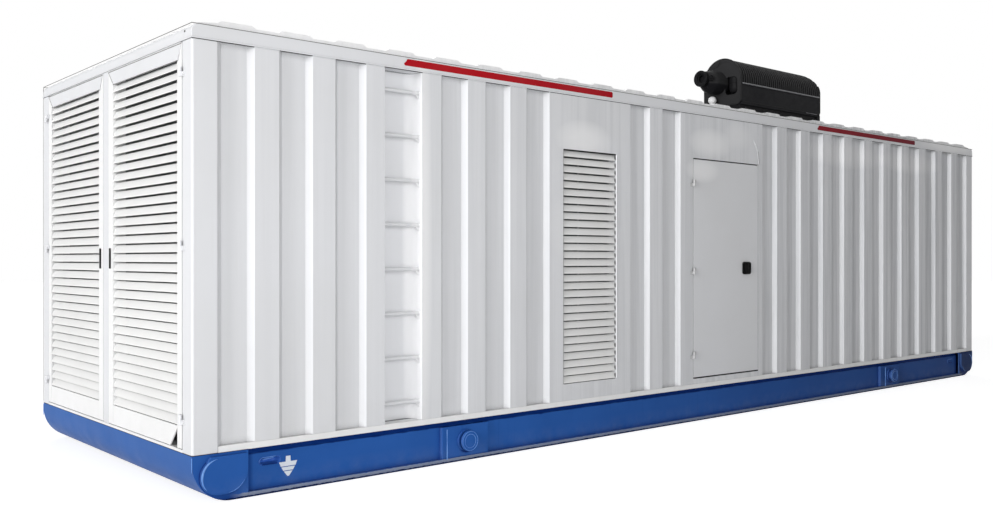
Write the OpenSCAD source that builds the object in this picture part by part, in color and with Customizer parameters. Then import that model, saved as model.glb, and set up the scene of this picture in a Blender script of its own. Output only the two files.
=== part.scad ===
// Containerised diesel generator set: a walk-in sound enclosure on a skid base,
// with louvred double doors on the left end and an exhaust silencer on the roof.
// Origin: centre of the base's underside. X runs along the length, the ladder side
// faces -Y, the opening louvred doors face -X, and Z is up.

/* [Enclosure] */
// Length over the two end faces
total_l = 10500; // [10000:50:11500]
// Width over the two side faces
total_w = 2940; // [2700:10:3200]
// Height of the top rails above the ground
rail_top_z = 2900; // [2820:10:3100]
// Wall thickness, from the outer crests to the inner lining
wall_t = 100; // [80:2:120]
// Height of the top rails
top_rail_h = 90; // [70:5:120]
// Radius on the outer top edges of the top rails
top_rail_r = 45; // [20:5:60]
// Height of the bottom side rails
bottom_rail_h = 40; // [25:1:60]
// Height of the sills under the end doors
end_sill_h = 20; // [10:1:24]
// Corner post's size along the length
post_l = 168; // [130:2:200]
// Corner post's size across the width
post_w = 140; // [110:2:170]
// Radius on the corner posts' outer edge
post_r = 15; // [5:1:30]

/* [Corrugation] */
// Nominal distance between neighbouring wall crests
corr_pitch = 422; // [380:2:460]
// Width of a wall crest
crest_w = 170; // [120:2:200]
// Depth of a wall valley
corr_d = 36; // [20:1:50]
// Run of each slope, along the wall
slope_run = 36; // [20:1:50]

/* [Side wall layout] */
// Length of the corrugated sheet beside the near corner post
sheet_a_l = 1216; // [1000:2:1300]
// Width of the last crest, beside the ladder
sheet_a_tail = 147; // [100:1:180]
// Outer width of the ladder recess
ladder_w = 325; // [290:1:380]
// Length of the sheet between ladder and louvre panel
sheet_b_l = 1249; // [1100:1:1350]
// Length of the flat louvre panel
louvre_panel_l = 959; // [860:1:1100]
// Length of the sheet between louvre panel and door panel
sheet_c_l = 672; // [580:1:760]
// Length of the flat door panel
door_panel_l = 1266; // [1200:1:1400]

/* [Ladder] */
// Depth of the ladder recess
ladder_d = 130; // [115:1:160]
// Plate thickness of the recess
ladder_t = 6; // [3:1:10]
// Largest radius of the recess's two back corners
ladder_corner_r = 80; // [30:5:100]
// Number of rungs
rung_count = 8; // [6:1:8]
// Distance between rungs
rung_pitch = 313; // [280:1:320]
// Height of the lowest rung above the ground
rung_first_z = 474; // [420:2:500]
// Rung diameter
rung_dia = 26; // [20:1:32]
// Rung axis behind the wall face
rung_y = 34; // [24:1:60]

/* [Side louvre] */
// Distance from the panel's left edge to the louvre opening
side_louvre_x = 155; // [100:1:200]
// Width of the louvre opening
side_louvre_w = 622; // [500:2:680]
// Height of the louvre opening's lower edge
side_louvre_z = 475; // [420:5:600]
// Height of the louvre opening
side_louvre_h = 1895; // [1500:5:2100]
// Blades lie this far behind the wall face
side_louvre_recess = 6; // [2:1:20]

/* [Louvre blades] */
// Nominal distance between blades
blade_pitch = 63; // [50:1:80]
// Share of the pitch that a blade covers
blade_cover = 0.85; // [0.7:0.01:0.95]
// Depth of a blade, front to back
blade_d = 26; // [20:1:50]
// Blade sheet thickness
blade_t = 4; // [2:0.5:6]
// Height of the upright front lip of a blade
blade_lip = 12; // [6:1:18]

/* [Side door] */
// Distance from the door panel's left edge to the leaf
door_x = 186; // [150:1:200]
// Width of the door leaf
door_w = 1000; // [900:5:1010]
// Height of the leaf's lower edge
door_z = 400; // [370:5:450]
// Height of the door leaf
door_h = 1998; // [1850:2:2100]
// Thickness of the door leaf
door_t = 60; // [50:1:66]
// Gap around every moving leaf
leaf_gap = 5; // [5:0.5:8]
// Reach of the door stops over the leaf's edge
stop_w = 24; // [15:1:30]

/* [Latch] */
// Width of the latch case
latch_w = 120; // [100:2:160]
// Height of the latch case
latch_h = 118; // [90:2:140]
// Height of the latch above the leaf's lower edge
latch_z = 938; // [800:2:1100]
// Distance from the latch to the leaf's free edge
latch_edge = 133; // [90:1:150]
// How far the latch case stands out
latch_d = 18; // [12:1:30]

/* [Hinges] */
// Hinge barrel radius
barrel_r = 10; // [9:0.5:11]
// Hinge barrel height, both knuckles together
barrel_h = 60; // [56:2:80]
// Hinge pin radius
pin_r = 5; // [4:0.5:6]
// Running clearance between pin and bore
pin_clear = 0.05; // [0.02:0.01:0.09]
// Clearance between barrel and wall face
barrel_gap = 8; // [5:0.5:9]
// Hinge plate length over the wall or the leaf
hinge_plate_l = 34; // [30:1:50]
// Hinge plate thickness
hinge_plate_t = 4; // [3:0.5:6]

/* [Louvred end doors] */
// Width of the fixed centre mullion
mullion_w = 100; // [80:2:130]
// Width of the leaf's outer stile
outer_stile_w = 69; // [60:1:90]
// Width of the leaf's inner stile
inner_stile_w = 88; // [70:1:110]
// Thickness of an end door leaf
end_leaf_t = 90; // [86:1:95]
// Blades lie this far behind the end face
end_louvre_recess = 4; // [2:1:20]
// Height of the hood plate over the blades
hood_h = 97; // [80:1:120]
// Height of the apron plate under the blades
apron_h = 134; // [110:2:160]
// Thickness of the hood and apron plates
apron_t = 8; // [4:1:10]
// Width of the open corner in the near leaf's apron
open_corner_w = 112; // [80:2:140]
// Height of a pull handle
handle_h = 144; // [110:2:180]
// Width of a pull handle
handle_w = 10; // [8:1:20]
// Height of the pull handles' lower end
handle_z = 1416; // [1300:4:1500]
// How far a pull handle stands out
handle_d = 12; // [8:1:16]

/* [Skid base] */
// Height of the skid base
base_h = 300; // [290:5:360]
// Length of the end blocks
end_block_l = 368; // [320:2:420]
// Radius of the end blocks' lower edge
end_block_r = 258; // [240:2:268]
// Plate thickness of the end blocks
end_plate_t = 14; // [8:1:20]
// Radius of the outer end of the raised pad on an end block's side
pad_r = 113; // [100:1:118]
// Radius of the pad's inner end
pad_inner_r = 140; // [125:1:145]
// Distance from the end face to the centre of the pad's outer end
pad_x = 163; // [155:1:185]
// Height of the pad's lowest point above the ground
pad_z = 47; // [44:1:60]
// How far the pad stands out
pad_d = 24; // [10:1:30]
// How far the side channel's web lies behind the face
web_recess = 40; // [30:1:50]
// Thickness of the side channel's web
web_t = 14; // [8:1:20]
// Thickness of the side channel's lower flange
flange_t = 32; // [20:1:40]
// Height of the groove over the web, under the wall
groove_h = 40; // [30:1:50]
// Distance from an end block to the slot in the channel's web
web_slot_x = 93; // [40:1:160]
// Length of the slot in the channel's web
web_slot_l = 146; // [100:2:180]
// Height of the slot in the channel's web
web_slot_h = 41; // [30:1:60]
// Distance from the base's upper edge down to the slot's axis
web_slot_drop = 99; // [70:1:120]
// Nominal distance between cross members
cross_pitch = 600; // [500:10:800]
// Height of a cross member
cross_h = 160; // [120:2:200]
// Flange width of a cross member
cross_w = 100; // [80:2:130]
// Flange and web thickness of a cross member
cross_t = 10; // [6:1:14]

/* [Lifting points] */
// Distance from the end face to a lifting plate's centre
lift_x = 2109; // [1800:5:2400]
// Length of a lifting plate
lift_plate_l = 434; // [360:2:480]
// How far a lifting plate stays behind the face
lift_plate_y = 8; // [4:1:20]
// Bollard neck radius
bollard_r = 52; // [40:1:60]
// Radius of the bollard's collar and cap
bollard_cap_r = 76; // [62:1:84]
// Height of a bollard's axis above the ground
bollard_z = 148; // [124:1:160]
// How far a bollard stands out from its plate
bollard_d = 58; // [45:1:70]
// Thickness of the bollard's cap and collar
bollard_cap_t = 16; // [12:1:20]

/* [Roof] */
// Height of the roof sheet's valleys over the rails
roof_valley_h = 28; // [15:1:35]
// Height of the roof sheet's crests over its valleys
roof_crest_h = 16; // [10:1:24]
// Distance between roof crests
roof_pitch = 412; // [380:2:460]
// Width of a roof crest
roof_crest_w = 200; // [150:2:230]
// Margin between the roof sheet and the rail faces
roof_margin = 26; // [15:1:40]

/* [Silencer] */
// Distance from the louvred end face to the silencer
sil_x = 6330; // [5800:10:6600]
// Silencer length
sil_l = 1550; // [1300:10:1800]
// Silencer axis behind the front face
sil_y = 834; // [600:2:1470]
// Silencer half width
sil_r = 234; // [200:2:260]
// Height of the cradle under the silencer
cradle_h = 192; // [150:2:230]
// Height of the silencer's straight lower part
sil_box_h = 222; // [180:2:260]
// Height of the rounded top's axis over that part
sil_axis_h = 50; // [30:2:80]
// Radius between the silencer's top and its far end
sil_far_r = 240; // [180:5:260]
// Number of ribs on the rounded top
rib_count = 38; // [24:1:44]
// Depth of the grooves between ribs
rib_d = 10; // [6:1:14]
// Thickness of the silencer's end plates
sil_plate_t = 16; // [10:1:24]
// How far the end plates and the side ledge stand out
sil_rim = 8; // [4:1:14]
// Depth of the pocket in the near end
sil_pocket_d = 120; // [80:5:160]

/* [Exhaust outlet] */
// Outlet axis beside the silencer's axis, towards the middle of the roof
outlet_y = 60; // [40:2:70]
// Radius of the outlet's wide end
outlet_r = 103; // [92:1:104]
// How far the outlet reaches out of the silencer
outlet_l = 300; // [240:5:360]
// Length of the outlet's straight neck
neck_l = 60; // [40:2:90]
// Outer radius of the outlet's neck
neck_r = 68; // [65:1:71]
// Bore radius of the outlet
outlet_bore_r = 60; // [50:1:62]
// Radius of the outlet flange
flange_r = 86; // [84:1:90]
// Thickness of the outlet flange
outlet_flange_t = 14; // [10:1:20]
// Pitch circle diameter of the flange holes
flange_pcd = 154; // [152:1:156]
// Radius of a flange hole
flange_hole_r = 4.5; // [4:0.1:4.9]
// Number of flange holes
flange_holes = 4; // [4:1:6]

/* [Roof vent] */
// Roof vent's distance in front of the silencer
vent_gap = 78; // [60:2:120]
// Roof vent's cap radius
vent_r = 44; // [35:1:50]
// Height of the roof vent over the roof crests
vent_h = 297; // [240:1:320]
// Gap between the vent pipe and the roof's hole
vent_clear = 0.3; // [0.2:0.05:0.5]

/* [Hidden] */
$fn = 48;

white = [0.90, 0.90, 0.90];
grey = [0.80, 0.80, 0.80];
blue = [0.16, 0.36, 0.66];
black = [0.10, 0.10, 0.11];

// Heights
wall_z0 = base_h + bottom_rail_h;
wall_z1 = rail_top_z - top_rail_h;
roof_top_z = rail_top_z + roof_valley_h + roof_crest_h;
leaf_z0 = base_h + end_sill_h + leaf_gap;
leaf_z1 = wall_z1 - leaf_gap;

// Side channel: top of its web, and the back of the strip that carries the wall over it
web_top_z = base_h - groove_h;
web_back = web_recess + 2 * web_t;

// The ladder recess's back corners start behind the rungs
ladder_back_r = min(ladder_corner_r, ladder_d - rung_y - rung_dia / 2);

// Stations along a side wall, from the left end face
x_ladder = post_l + sheet_a_l;
x_sheet_b = x_ladder + ladder_w;
x_louvre = x_sheet_b + sheet_b_l;
x_sheet_c = x_louvre + louvre_panel_l;
x_door_panel = x_sheet_c + sheet_c_l;
x_leaf = x_door_panel + door_x;
x_sheet_d = x_door_panel + door_panel_l;
x_far_post = total_l - post_l;

// Hinge axes: over the fixed edge, in front of the face
hinge_y = barrel_r + barrel_gap;
hinge_inset = leaf_gap + 6;
hinge_knuckle_h = (barrel_h - 1) / 2;
door_hinge_zs = [206, 974, 1778];
end_hinge_zs = [180, (leaf_z1 - leaf_z0) / 2, leaf_z1 - leaf_z0 - 180];

// End leaf, measured from the centre line
end_leaf_y0 = mullion_w / 2 + leaf_gap;
end_leaf_y1 = total_w / 2 - post_w - leaf_gap;
bay_z0 = leaf_z0 + apron_h;
bay_z1 = leaf_z1 - hood_h;

// Silencer
sil_z0 = roof_top_z + cradle_h;
sil_ledge_z = sil_z0 + sil_box_h;
sil_axis_z = sil_ledge_z + sil_axis_h;
sil_top_z = sil_axis_z + sil_r;
pocket_z1 = sil_axis_z + 102;
outlet_z = pocket_z1 - outlet_r - 1;
vent_x = sil_x - vent_gap;
vent_y = sil_y + 70;
vent_pipe_r = vent_r * 0.6;

// Frames: x from the left end face, y inwards from the wall face
module front() { translate([-total_l / 2, -total_w / 2, 0]) children(); }
module rear() { mirror([0, 1, 0]) front() children(); }
// Frame of an end: x inwards from the end face, y from the centre line
module left_end() { translate([-total_l / 2, 0, 0]) children(); }
module right_end() { mirror([1, 0, 0]) left_end() children(); }
module both_sides() { front() children(); rear() children(); }
module both_ends() { left_end() children(); right_end() children(); }
module four_corners() {
    both_sides() {
        children();
        translate([total_l, 0, 0]) mirror([1, 0, 0]) children();
    }
}

// Rectangle in XZ with its upper outer corner rounded, extruded along +y
module rail_profile(l, h, r) {
    square([l, h - r]);
    translate([r, 0]) square([l - r, h]);
    translate([r, h - r]) circle(r);
}
module along_y(l) { translate([0, l, 0]) rotate([90, 0, 0]) linear_extrude(l) children(); }
module along_x(l) { rotate([90, 0, 90]) linear_extrude(l) children(); }

// ---- Skid base ----
module side_channel() {
    l = total_l - 2 * end_block_l;
    y1 = web_recess + web_t;
    translate([end_block_l, 0, 0]) difference() {
        along_x(l) polygon([
            [0, 0], [y1, 0], [y1, web_top_z - web_t], [web_back, web_top_z - web_t], [web_back, base_h],
            [y1, base_h], [y1, web_top_z], [web_recess, web_top_z], [web_recess, flange_t], [0, flange_t]
        ]);
        translate([web_slot_x, web_recess - 1, base_h - web_slot_drop]) along_y(web_t + 2) {
            translate([web_slot_h / 2, 0]) circle(web_slot_h / 2);
            translate([web_slot_l - web_slot_h / 2, 0]) circle(web_slot_h / 2);
            translate([web_slot_h / 2, -web_slot_h / 2]) square([web_slot_l - web_slot_h, web_slot_h]);
        }
    }
}
module base_side_rails() { color(blue) both_sides() side_channel(); }

// Upright section of an end block, set in by its plate thickness for the hollow
module end_block_profile(inset, l) {
    r = end_block_r - inset;
    h = base_h - 2 * inset;
    translate([inset, inset]) intersection() {
        square([l, h]);
        union() {
            translate([r, 0]) square([l - r, h]);
            translate([0, r]) square([l, h - r]);
            translate([r, r]) circle(r);
        }
    }
}
// Pad with two round ends of different radius, running on to the block's inner edge at its top
module pad_profile() {
    rim = 13;
    top_rim = 17;
    inner_x = end_block_l - rim - pad_inner_r;
    intersection() {
        square([end_block_l - rim, base_h - top_rim]);
        union() {
            translate([pad_x, pad_z + pad_r]) circle(pad_r);
            translate([inner_x, pad_z + pad_inner_r]) {
                circle(pad_inner_r);
                square(pad_inner_r);
            }
            translate([pad_x, pad_z]) square([inner_x - pad_x, pad_inner_r]);
        }
    }
}
module corner_pad() { translate([0, -pad_d, 0]) along_y(pad_d + 1) pad_profile(); }
module end_block() {
    inner = total_w - 2 * end_plate_t;
    difference() {
        translate([0, -total_w / 2, 0]) along_y(total_w) end_block_profile(0, end_block_l);
        translate([0, -inner / 2, 0]) along_y(inner) end_block_profile(end_plate_t, end_block_l);
    }
    for (s = [0, 1]) mirror([0, s, 0]) translate([0, -total_w / 2, 0]) corner_pad();
}
module base_ends() { color(blue) both_ends() end_block(); }

module cross_member() {
    translate([-cross_w / 2, base_h - cross_h, 0]) {
        square([cross_w, cross_t]);
        translate([0, cross_h - cross_t]) square([cross_w, cross_t]);
        translate([(cross_w - cross_t) / 2, 0]) square([cross_t, cross_h]);
    }
}
module cross_members() {
    span = total_l - 2 * end_block_l - cross_w;
    count = round(span / cross_pitch);
    inner = total_w - 2 * web_back;
    color(blue) for (i = [0:count])
        translate([-span / 2 + i * span / count, -inner / 2, 0]) along_y(inner) cross_member();
}

module lifting_lug() {
    plate_d = web_recess - lift_plate_y;
    translate([lift_x, lift_plate_y, 0]) {
        translate([-lift_plate_l / 2, 0, flange_t]) cube([lift_plate_l, plate_d, web_top_z - flange_t]);
        translate([0, 1, bollard_z]) rotate([90, 0, 0]) {
            cylinder(h = bollard_cap_t * 0.75 + 1, r = bollard_cap_r);
            cylinder(h = bollard_d + 1, r = bollard_r);
            translate([0, 0, bollard_d + 1 - bollard_cap_t]) cylinder(h = bollard_cap_t, r = bollard_cap_r);
        }
    }
}
module lifting_lugs() { color(blue) four_corners() lifting_lug(); }

// ---- Floor, posts and rails ----
module floor_deck() {
    color([0.35, 0.36, 0.38]) difference() {
        translate([-total_l / 2 + wall_t, -total_w / 2 + wall_t, base_h])
            cube([total_l - 2 * wall_t, total_w - 2 * wall_t, bottom_rail_h]);
        four_corners() translate([0, 0, base_h - 1]) cube([post_l, post_w, bottom_rail_h + 2]);
    }
}
module corner_posts() {
    color(white) four_corners() translate([0, 0, base_h]) linear_extrude(wall_z1 - base_h) {
        translate([post_r, 0]) square([post_l - post_r, post_w]);
        translate([0, post_r]) square([post_l, post_w - post_r]);
        translate([post_r, post_r]) circle(post_r);
    }
}
module top_side_rails() {
    color(grey) both_sides() translate([0, 0, wall_z1]) along_y(wall_t) {
        rail_profile(total_l / 2, top_rail_h, top_rail_r);
        translate([total_l, 0]) mirror([1, 0]) rail_profile(total_l / 2, top_rail_h, top_rail_r);
    }
}
module top_end_rails() {
    inner = total_w - 2 * wall_t;
    color(white) both_ends() translate([0, -inner / 2, wall_z1]) along_y(inner)
        rail_profile(wall_t, top_rail_h, top_rail_r);
}
module bottom_side_rails() {
    color(white) both_sides() translate([post_l, 0, base_h])
        cube([total_l - 2 * post_l, wall_t, bottom_rail_h]);
}
module end_sills() {
    inner = total_w - 2 * post_w;
    color(white) both_ends() translate([0, -inner / 2, base_h]) cube([wall_t, inner, end_sill_h]);
}

// ---- Corrugated sheets, from station x0 to x1; lead and tail are flat crests at the ends ----
module corrugated_sheet(x0, x1, lead = 0, tail = 0) {
    l = x1 - x0;
    n = max(1, round((l - lead - tail + crest_w) / corr_pitch));
    valley_l = (l - lead - tail - (n - 1) * crest_w) / n;
    fold = [[0, 0], [slope_run, corr_d], [valley_l - slope_run, corr_d], [valley_l, 0]];
    outline = [
        if (lead > 0) [0, 0],
        for (i = [0:n - 1]) for (p = fold) [lead + i * (valley_l + crest_w) + p[0], p[1]],
        if (tail > 0) [l, 0],
        [l, wall_t],
        [0, wall_t]
    ];
    translate([x0, 0, wall_z0]) linear_extrude(wall_z1 - wall_z0) polygon(outline);
}
module front_wall_left() { color(grey) front() corrugated_sheet(post_l, x_ladder, tail = sheet_a_tail); }
module front_wall_middle() { color(grey) front() corrugated_sheet(x_sheet_b, x_louvre, lead = crest_w); }
module front_wall_by_door() { color(grey) front() corrugated_sheet(x_sheet_c, x_door_panel); }
module front_wall_right() { color(grey) front() corrugated_sheet(x_sheet_d, x_far_post); }
module rear_walls() {
    color(grey) rear() {
        corrugated_sheet(post_l, x_louvre);
        corrugated_sheet(x_sheet_c, x_door_panel);
        corrugated_sheet(x_sheet_d, x_far_post);
    }
}

// ---- Ladder ----
// Plan of the recess's inside, with its back corners rounded
module ladder_hollow(w, r) {
    translate([0, -1]) square([w, ladder_d + 1 - r]);
    translate([r, -1]) square([w - 2 * r, ladder_d + 1]);
    for (x = [r, w - r]) translate([x, ladder_d - r]) circle(r);
}
module ladder_recess() {
    color(white) front() translate([x_ladder, 0, wall_z0]) linear_extrude(wall_z1 - wall_z0) difference() {
        square([ladder_w, ladder_d + ladder_t]);
        translate([ladder_t, 0]) ladder_hollow(ladder_w - 2 * ladder_t, ladder_back_r);
    }
}
module ladder_rungs() {
    color(white) front() for (i = [0:rung_count - 1])
        translate([x_ladder + ladder_t, rung_y, rung_first_z + i * rung_pitch]) rotate([0, 90, 0])
            cylinder(h = ladder_w - 2 * ladder_t, d = rung_dia);
}

// ---- Louvre blades: y is the depth behind the face, the blades run along x ----
module blade_stack(l, z0, z1) {
    n = max(1, round((z1 - z0) / blade_pitch));
    pitch = (z1 - z0) / n;
    h = pitch * blade_cover;
    outline = [
        [0, 0], [blade_t, 0], [blade_t, blade_lip], [blade_d, h], [blade_d - blade_t, h], [0, blade_lip]
    ];
    for (i = [0:n - 1]) translate([0, 0, z0 + i * pitch + (pitch - h) / 2])
        rotate([90, 0, 90]) linear_extrude(l) polygon(outline);
}
module side_louvre_panel() {
    translate([x_louvre, 0, wall_z0]) difference() {
        cube([louvre_panel_l, wall_t, wall_z1 - wall_z0]);
        translate([side_louvre_x, -1, side_louvre_z - wall_z0])
            cube([side_louvre_w, wall_t + 2, side_louvre_h]);
    }
}
module side_louvre_blades() {
    translate([x_louvre + side_louvre_x, side_louvre_recess, 0])
        blade_stack(side_louvre_w, side_louvre_z, side_louvre_z + side_louvre_h);
}
module front_louvre_panel() { color(grey) front() side_louvre_panel(); }
module front_louvre_blades() { color(grey) front() side_louvre_blades(); }
module rear_louvre_panel() { color(grey) rear() side_louvre_panel(); }
module rear_louvre_blades() { color(grey) rear() side_louvre_blades(); }

// ---- Side door and the wall around it ----
door_open_x0 = x_leaf - leaf_gap;
door_open_x1 = x_leaf + door_w + leaf_gap;
door_open_z0 = door_z - leaf_gap;
door_open_z1 = door_z + door_h + leaf_gap;
module stop_bar(size, y0) { translate([0, y0, 0]) cube([size[0], wall_t - y0, size[1]]); }

module door_post_left() {
    h = wall_z1 - wall_z0;
    color(grey) front() translate([x_door_panel, 0, wall_z0]) {
        cube([door_open_x0 - x_door_panel, wall_t, h]);
        translate([0, 0, door_open_z0 - wall_z0])
            stop_bar([door_open_x0 - x_door_panel + stop_w, door_open_z1 - door_open_z0], door_t + leaf_gap);
    }
}
module door_post_right() {
    h = wall_z1 - wall_z0;
    color(grey) front() translate([door_open_x1, 0, wall_z0]) {
        cube([x_sheet_d - door_open_x1, wall_t, h]);
        translate([-stop_w, 0, door_open_z0 - wall_z0])
            stop_bar([stop_w + 1, door_open_z1 - door_open_z0], door_t + leaf_gap);
    }
}
module door_head() {
    color(grey) front() translate([door_open_x0, 0, door_open_z1])
        cube([door_open_x1 - door_open_x0, wall_t, wall_z1 - door_open_z1]);
}
module door_sill() {
    color(grey) front() translate([door_open_x0, 0, wall_z0])
        cube([door_open_x1 - door_open_x0, wall_t, door_open_z0 - wall_z0]);
}
module leaf() { translate([x_leaf, 0, door_z]) cube([door_w, door_t, door_h]); }
module front_door() { color(grey) front() leaf(); }

module latch() {
    chamfer = 14;
    grip_w = 24;
    grip_d = 8;
    translate([x_leaf + door_w - latch_edge - latch_w, -latch_d, door_z + latch_z]) {
        along_y(latch_d) polygon([
            [chamfer, 0], [latch_w - chamfer, 0], [latch_w, chamfer], [latch_w, latch_h - chamfer],
            [latch_w - chamfer, latch_h], [chamfer, latch_h], [0, latch_h - chamfer], [0, chamfer]
        ]);
        translate([(latch_w - grip_w) / 2, -grip_d, chamfer]) cube([grip_w, grip_d + 1, latch_h - 2 * chamfer]);
    }
}
module door_latch() { color(black) front() latch(); }

module rear_door_surround() {
    color(grey) rear() difference() {
        translate([x_door_panel, 0, wall_z0]) cube([door_panel_l, wall_t, wall_z1 - wall_z0]);
        translate([door_open_x0, -1, door_open_z0])
            cube([door_open_x1 - door_open_x0, door_t + 1, door_open_z1 - door_open_z0]);
        translate([door_open_x0 + stop_w, -1, door_open_z0 + stop_w])
            cube([door_open_x1 - door_open_x0 - 2 * stop_w, wall_t + 2, door_open_z1 - door_open_z0 - 2 * stop_w]);
    }
}
module rear_door() { color(grey) rear() leaf(); }
module rear_door_latch() { color(black) rear() latch(); }

// ---- Hinges: axis on Z, leaf towards +x, face plane at y = hinge_y, base of the barrel at z = 0 ----
module hinge_pin() {
    cylinder(h = hinge_knuckle_h, r = barrel_r);
    cylinder(h = barrel_h - 10, r = pin_r);
    translate([-barrel_r, 0, 0]) cube([barrel_r, hinge_y, hinge_knuckle_h]);
    translate([-hinge_plate_l, hinge_y - hinge_plate_t, 0])
        cube([hinge_plate_l, hinge_plate_t, hinge_knuckle_h]);
}
module hinge_knuckle() {
    translate([0, 0, barrel_h - hinge_knuckle_h]) difference() {
        union() {
            cylinder(h = hinge_knuckle_h, r = barrel_r);
            cube([hinge_inset + 10, barrel_r, hinge_knuckle_h]);
            translate([hinge_inset + 1, 0, 0]) cube([9, hinge_y, hinge_knuckle_h]);
            translate([hinge_inset + 1, hinge_y - hinge_plate_t, 0])
                cube([hinge_plate_l, hinge_plate_t, hinge_knuckle_h]);
        }
        translate([0, 0, -1]) cylinder(h = hinge_knuckle_h - 7, r = pin_r + pin_clear);
    }
}
// A hinge of a leaf that stays shut
module hinge_shut() {
    cylinder(h = barrel_h, r = barrel_r);
    translate([-barrel_r, 0, 0]) cube([2 * barrel_r, hinge_y, barrel_h]);
    translate([-hinge_plate_l, hinge_y - hinge_plate_t, 0])
        cube([2 * hinge_plate_l, hinge_plate_t, barrel_h]);
}
module at_door_hinges() {
    for (z = door_hinge_zs) translate([x_leaf - hinge_inset, -hinge_y, door_z + z - barrel_h / 2]) children();
}
// s = -1 for the near leaf, hinged at the front corner post, and 1 for the far leaf
module at_end_hinges(s) {
    for (z = end_hinge_zs)
        translate([-hinge_y, s * (end_leaf_y1 + hinge_inset), leaf_z0 + z - barrel_h / 2])
            mirror([0, s < 0 ? 1 : 0, 0]) rotate([0, 0, -90]) children();
}
module door_hinge_pins() { color(white) front() at_door_hinges() hinge_pin(); }
module door_hinge_knuckles() { color(white) front() at_door_hinges() hinge_knuckle(); }
module left_hinge_pins() { color(white) left_end() for (s = [-1, 1]) at_end_hinges(s) hinge_pin(); }
module near_end_knuckles() { color(white) left_end() at_end_hinges(-1) hinge_knuckle(); }
module far_end_knuckles() { color(white) left_end() at_end_hinges(1) hinge_knuckle(); }
module rear_door_hinges() { color(white) rear() at_door_hinges() hinge_shut(); }
module right_end_hinges() { color(white) right_end() for (s = [-1, 1]) at_end_hinges(s) hinge_shut(); }

// ---- Louvred ends: one leaf on the +y side of the centre line ----
module end_leaf(y0, y1, z0, z1) {
    bay_y0 = end_leaf_y0 + inner_stile_w;
    bay_y1 = end_leaf_y1 - outer_stile_w;
    translate([0, y0, z0]) cube([end_leaf_t, bay_y0 - y0, z1 - z0]);
    translate([0, bay_y1, z0]) cube([end_leaf_t, y1 - bay_y1, z1 - z0]);
    translate([0, bay_y0, 0]) along_y(bay_y1 - bay_y0) {
        polygon([[0, z1], [apron_t, z1], [end_louvre_recess + apron_t, bay_z1], [end_louvre_recess, bay_z1]]);
        polygon([[0, z0], [apron_t, z0], [end_louvre_recess + apron_t, bay_z0], [end_louvre_recess, bay_z0]]);
    }
}
module end_blades() {
    bay_y0 = end_leaf_y0 + inner_stile_w;
    bay_y1 = end_leaf_y1 - outer_stile_w;
    translate([end_louvre_recess, bay_y1, 0]) rotate([0, 0, -90])
        blade_stack(bay_y1 - bay_y0, bay_z0, bay_z1);
}
module end_handle() {
    translate([-handle_d, end_leaf_y0 + (inner_stile_w - handle_w) / 2, handle_z])
        cube([handle_d, handle_w, handle_h]);
}
module near_half() { left_end() mirror([0, 1, 0]) children(); }

module near_end_door() {
    y1 = end_leaf_y1 - outer_stile_w;
    color(white) near_half() difference() {
        end_leaf(end_leaf_y0, end_leaf_y1, leaf_z0, leaf_z1);
        translate([-1, y1 - open_corner_w, 0]) rotate([90, 0, 90]) linear_extrude(end_leaf_t + 2)
            polygon([[0, leaf_z0 - 1], [open_corner_w, leaf_z0 - 1], [open_corner_w, bay_z0 - 6]]);
    }
}
module near_end_blades() { color(white) near_half() end_blades(); }
module near_end_handle() { color(black) near_half() end_handle(); }
module far_end_door() { color(white) left_end() end_leaf(end_leaf_y0, end_leaf_y1, leaf_z0, leaf_z1); }
module far_end_blades() { color(white) left_end() end_blades(); }
module far_end_handle() { color(black) left_end() end_handle(); }
module mullion() {
    translate([0, -mullion_w / 2, base_h + end_sill_h])
        cube([wall_t, mullion_w, wall_z1 - base_h - end_sill_h]);
}
module left_mullion() { color(white) left_end() mullion(); }
module right_end_frame() {
    color(white) right_end() {
        mullion();
        for (s = [0, 1]) mirror([0, s, 0])
            end_leaf(mullion_w / 2 - 1, total_w / 2 - post_w, base_h + end_sill_h, wall_z1);
    }
}
module right_end_handles() { color(black) right_end() for (s = [0, 1]) mirror([0, s, 0]) end_handle(); }
module right_end_blades() { color(white) right_end() for (s = [0, 1]) mirror([0, s, 0]) end_blades(); }

// ---- Roof: an insulated panel between the rails under a cross-corrugated sheet ----
module roof_panel() {
    sheet_l = total_l - 2 * (top_rail_r + 5);
    n = floor((sheet_l / 2 - roof_crest_w) / roof_pitch);
    slope = 28;
    half = roof_crest_w / 2;
    z1 = roof_valley_h;
    z2 = roof_valley_h + roof_crest_h;
    fold = [[-half - slope, z1], [-half, z2], [half, z2], [half + slope, z1]];
    outline = [
        [-sheet_l / 2, 0],
        [-sheet_l / 2, z1 / 2],
        for (i = [-n:n]) for (p = fold) [i * roof_pitch + p[0], p[1]],
        [sheet_l / 2, z1 / 2],
        [sheet_l / 2, 0]
    ];
    sheet_w = total_w - 2 * roof_margin;
    color(grey) difference() {
        union() {
            translate([0, -sheet_w / 2, rail_top_z]) along_y(sheet_w) polygon(outline);
            translate([-total_l / 2 + wall_t, -total_w / 2 + wall_t, wall_z1])
                cube([total_l - 2 * wall_t, total_w - 2 * wall_t, top_rail_h + 1]);
        }
        front() translate([vent_x, vent_y, wall_z1 - 1])
            cylinder(h = roof_top_z - wall_z1 + 2, r = vent_pipe_r + vent_clear);
    }
}

// ---- Exhaust silencer: x along its axis from the near end, y across, z from its underside ----
module silencer() { front() translate([sil_x, sil_y, 0]) children(); }
module d_profile(r, z0) {
    translate([0, sil_axis_z]) circle(r);
    translate([-r, z0]) square([2 * r, sil_axis_z - z0]);
}
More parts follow.
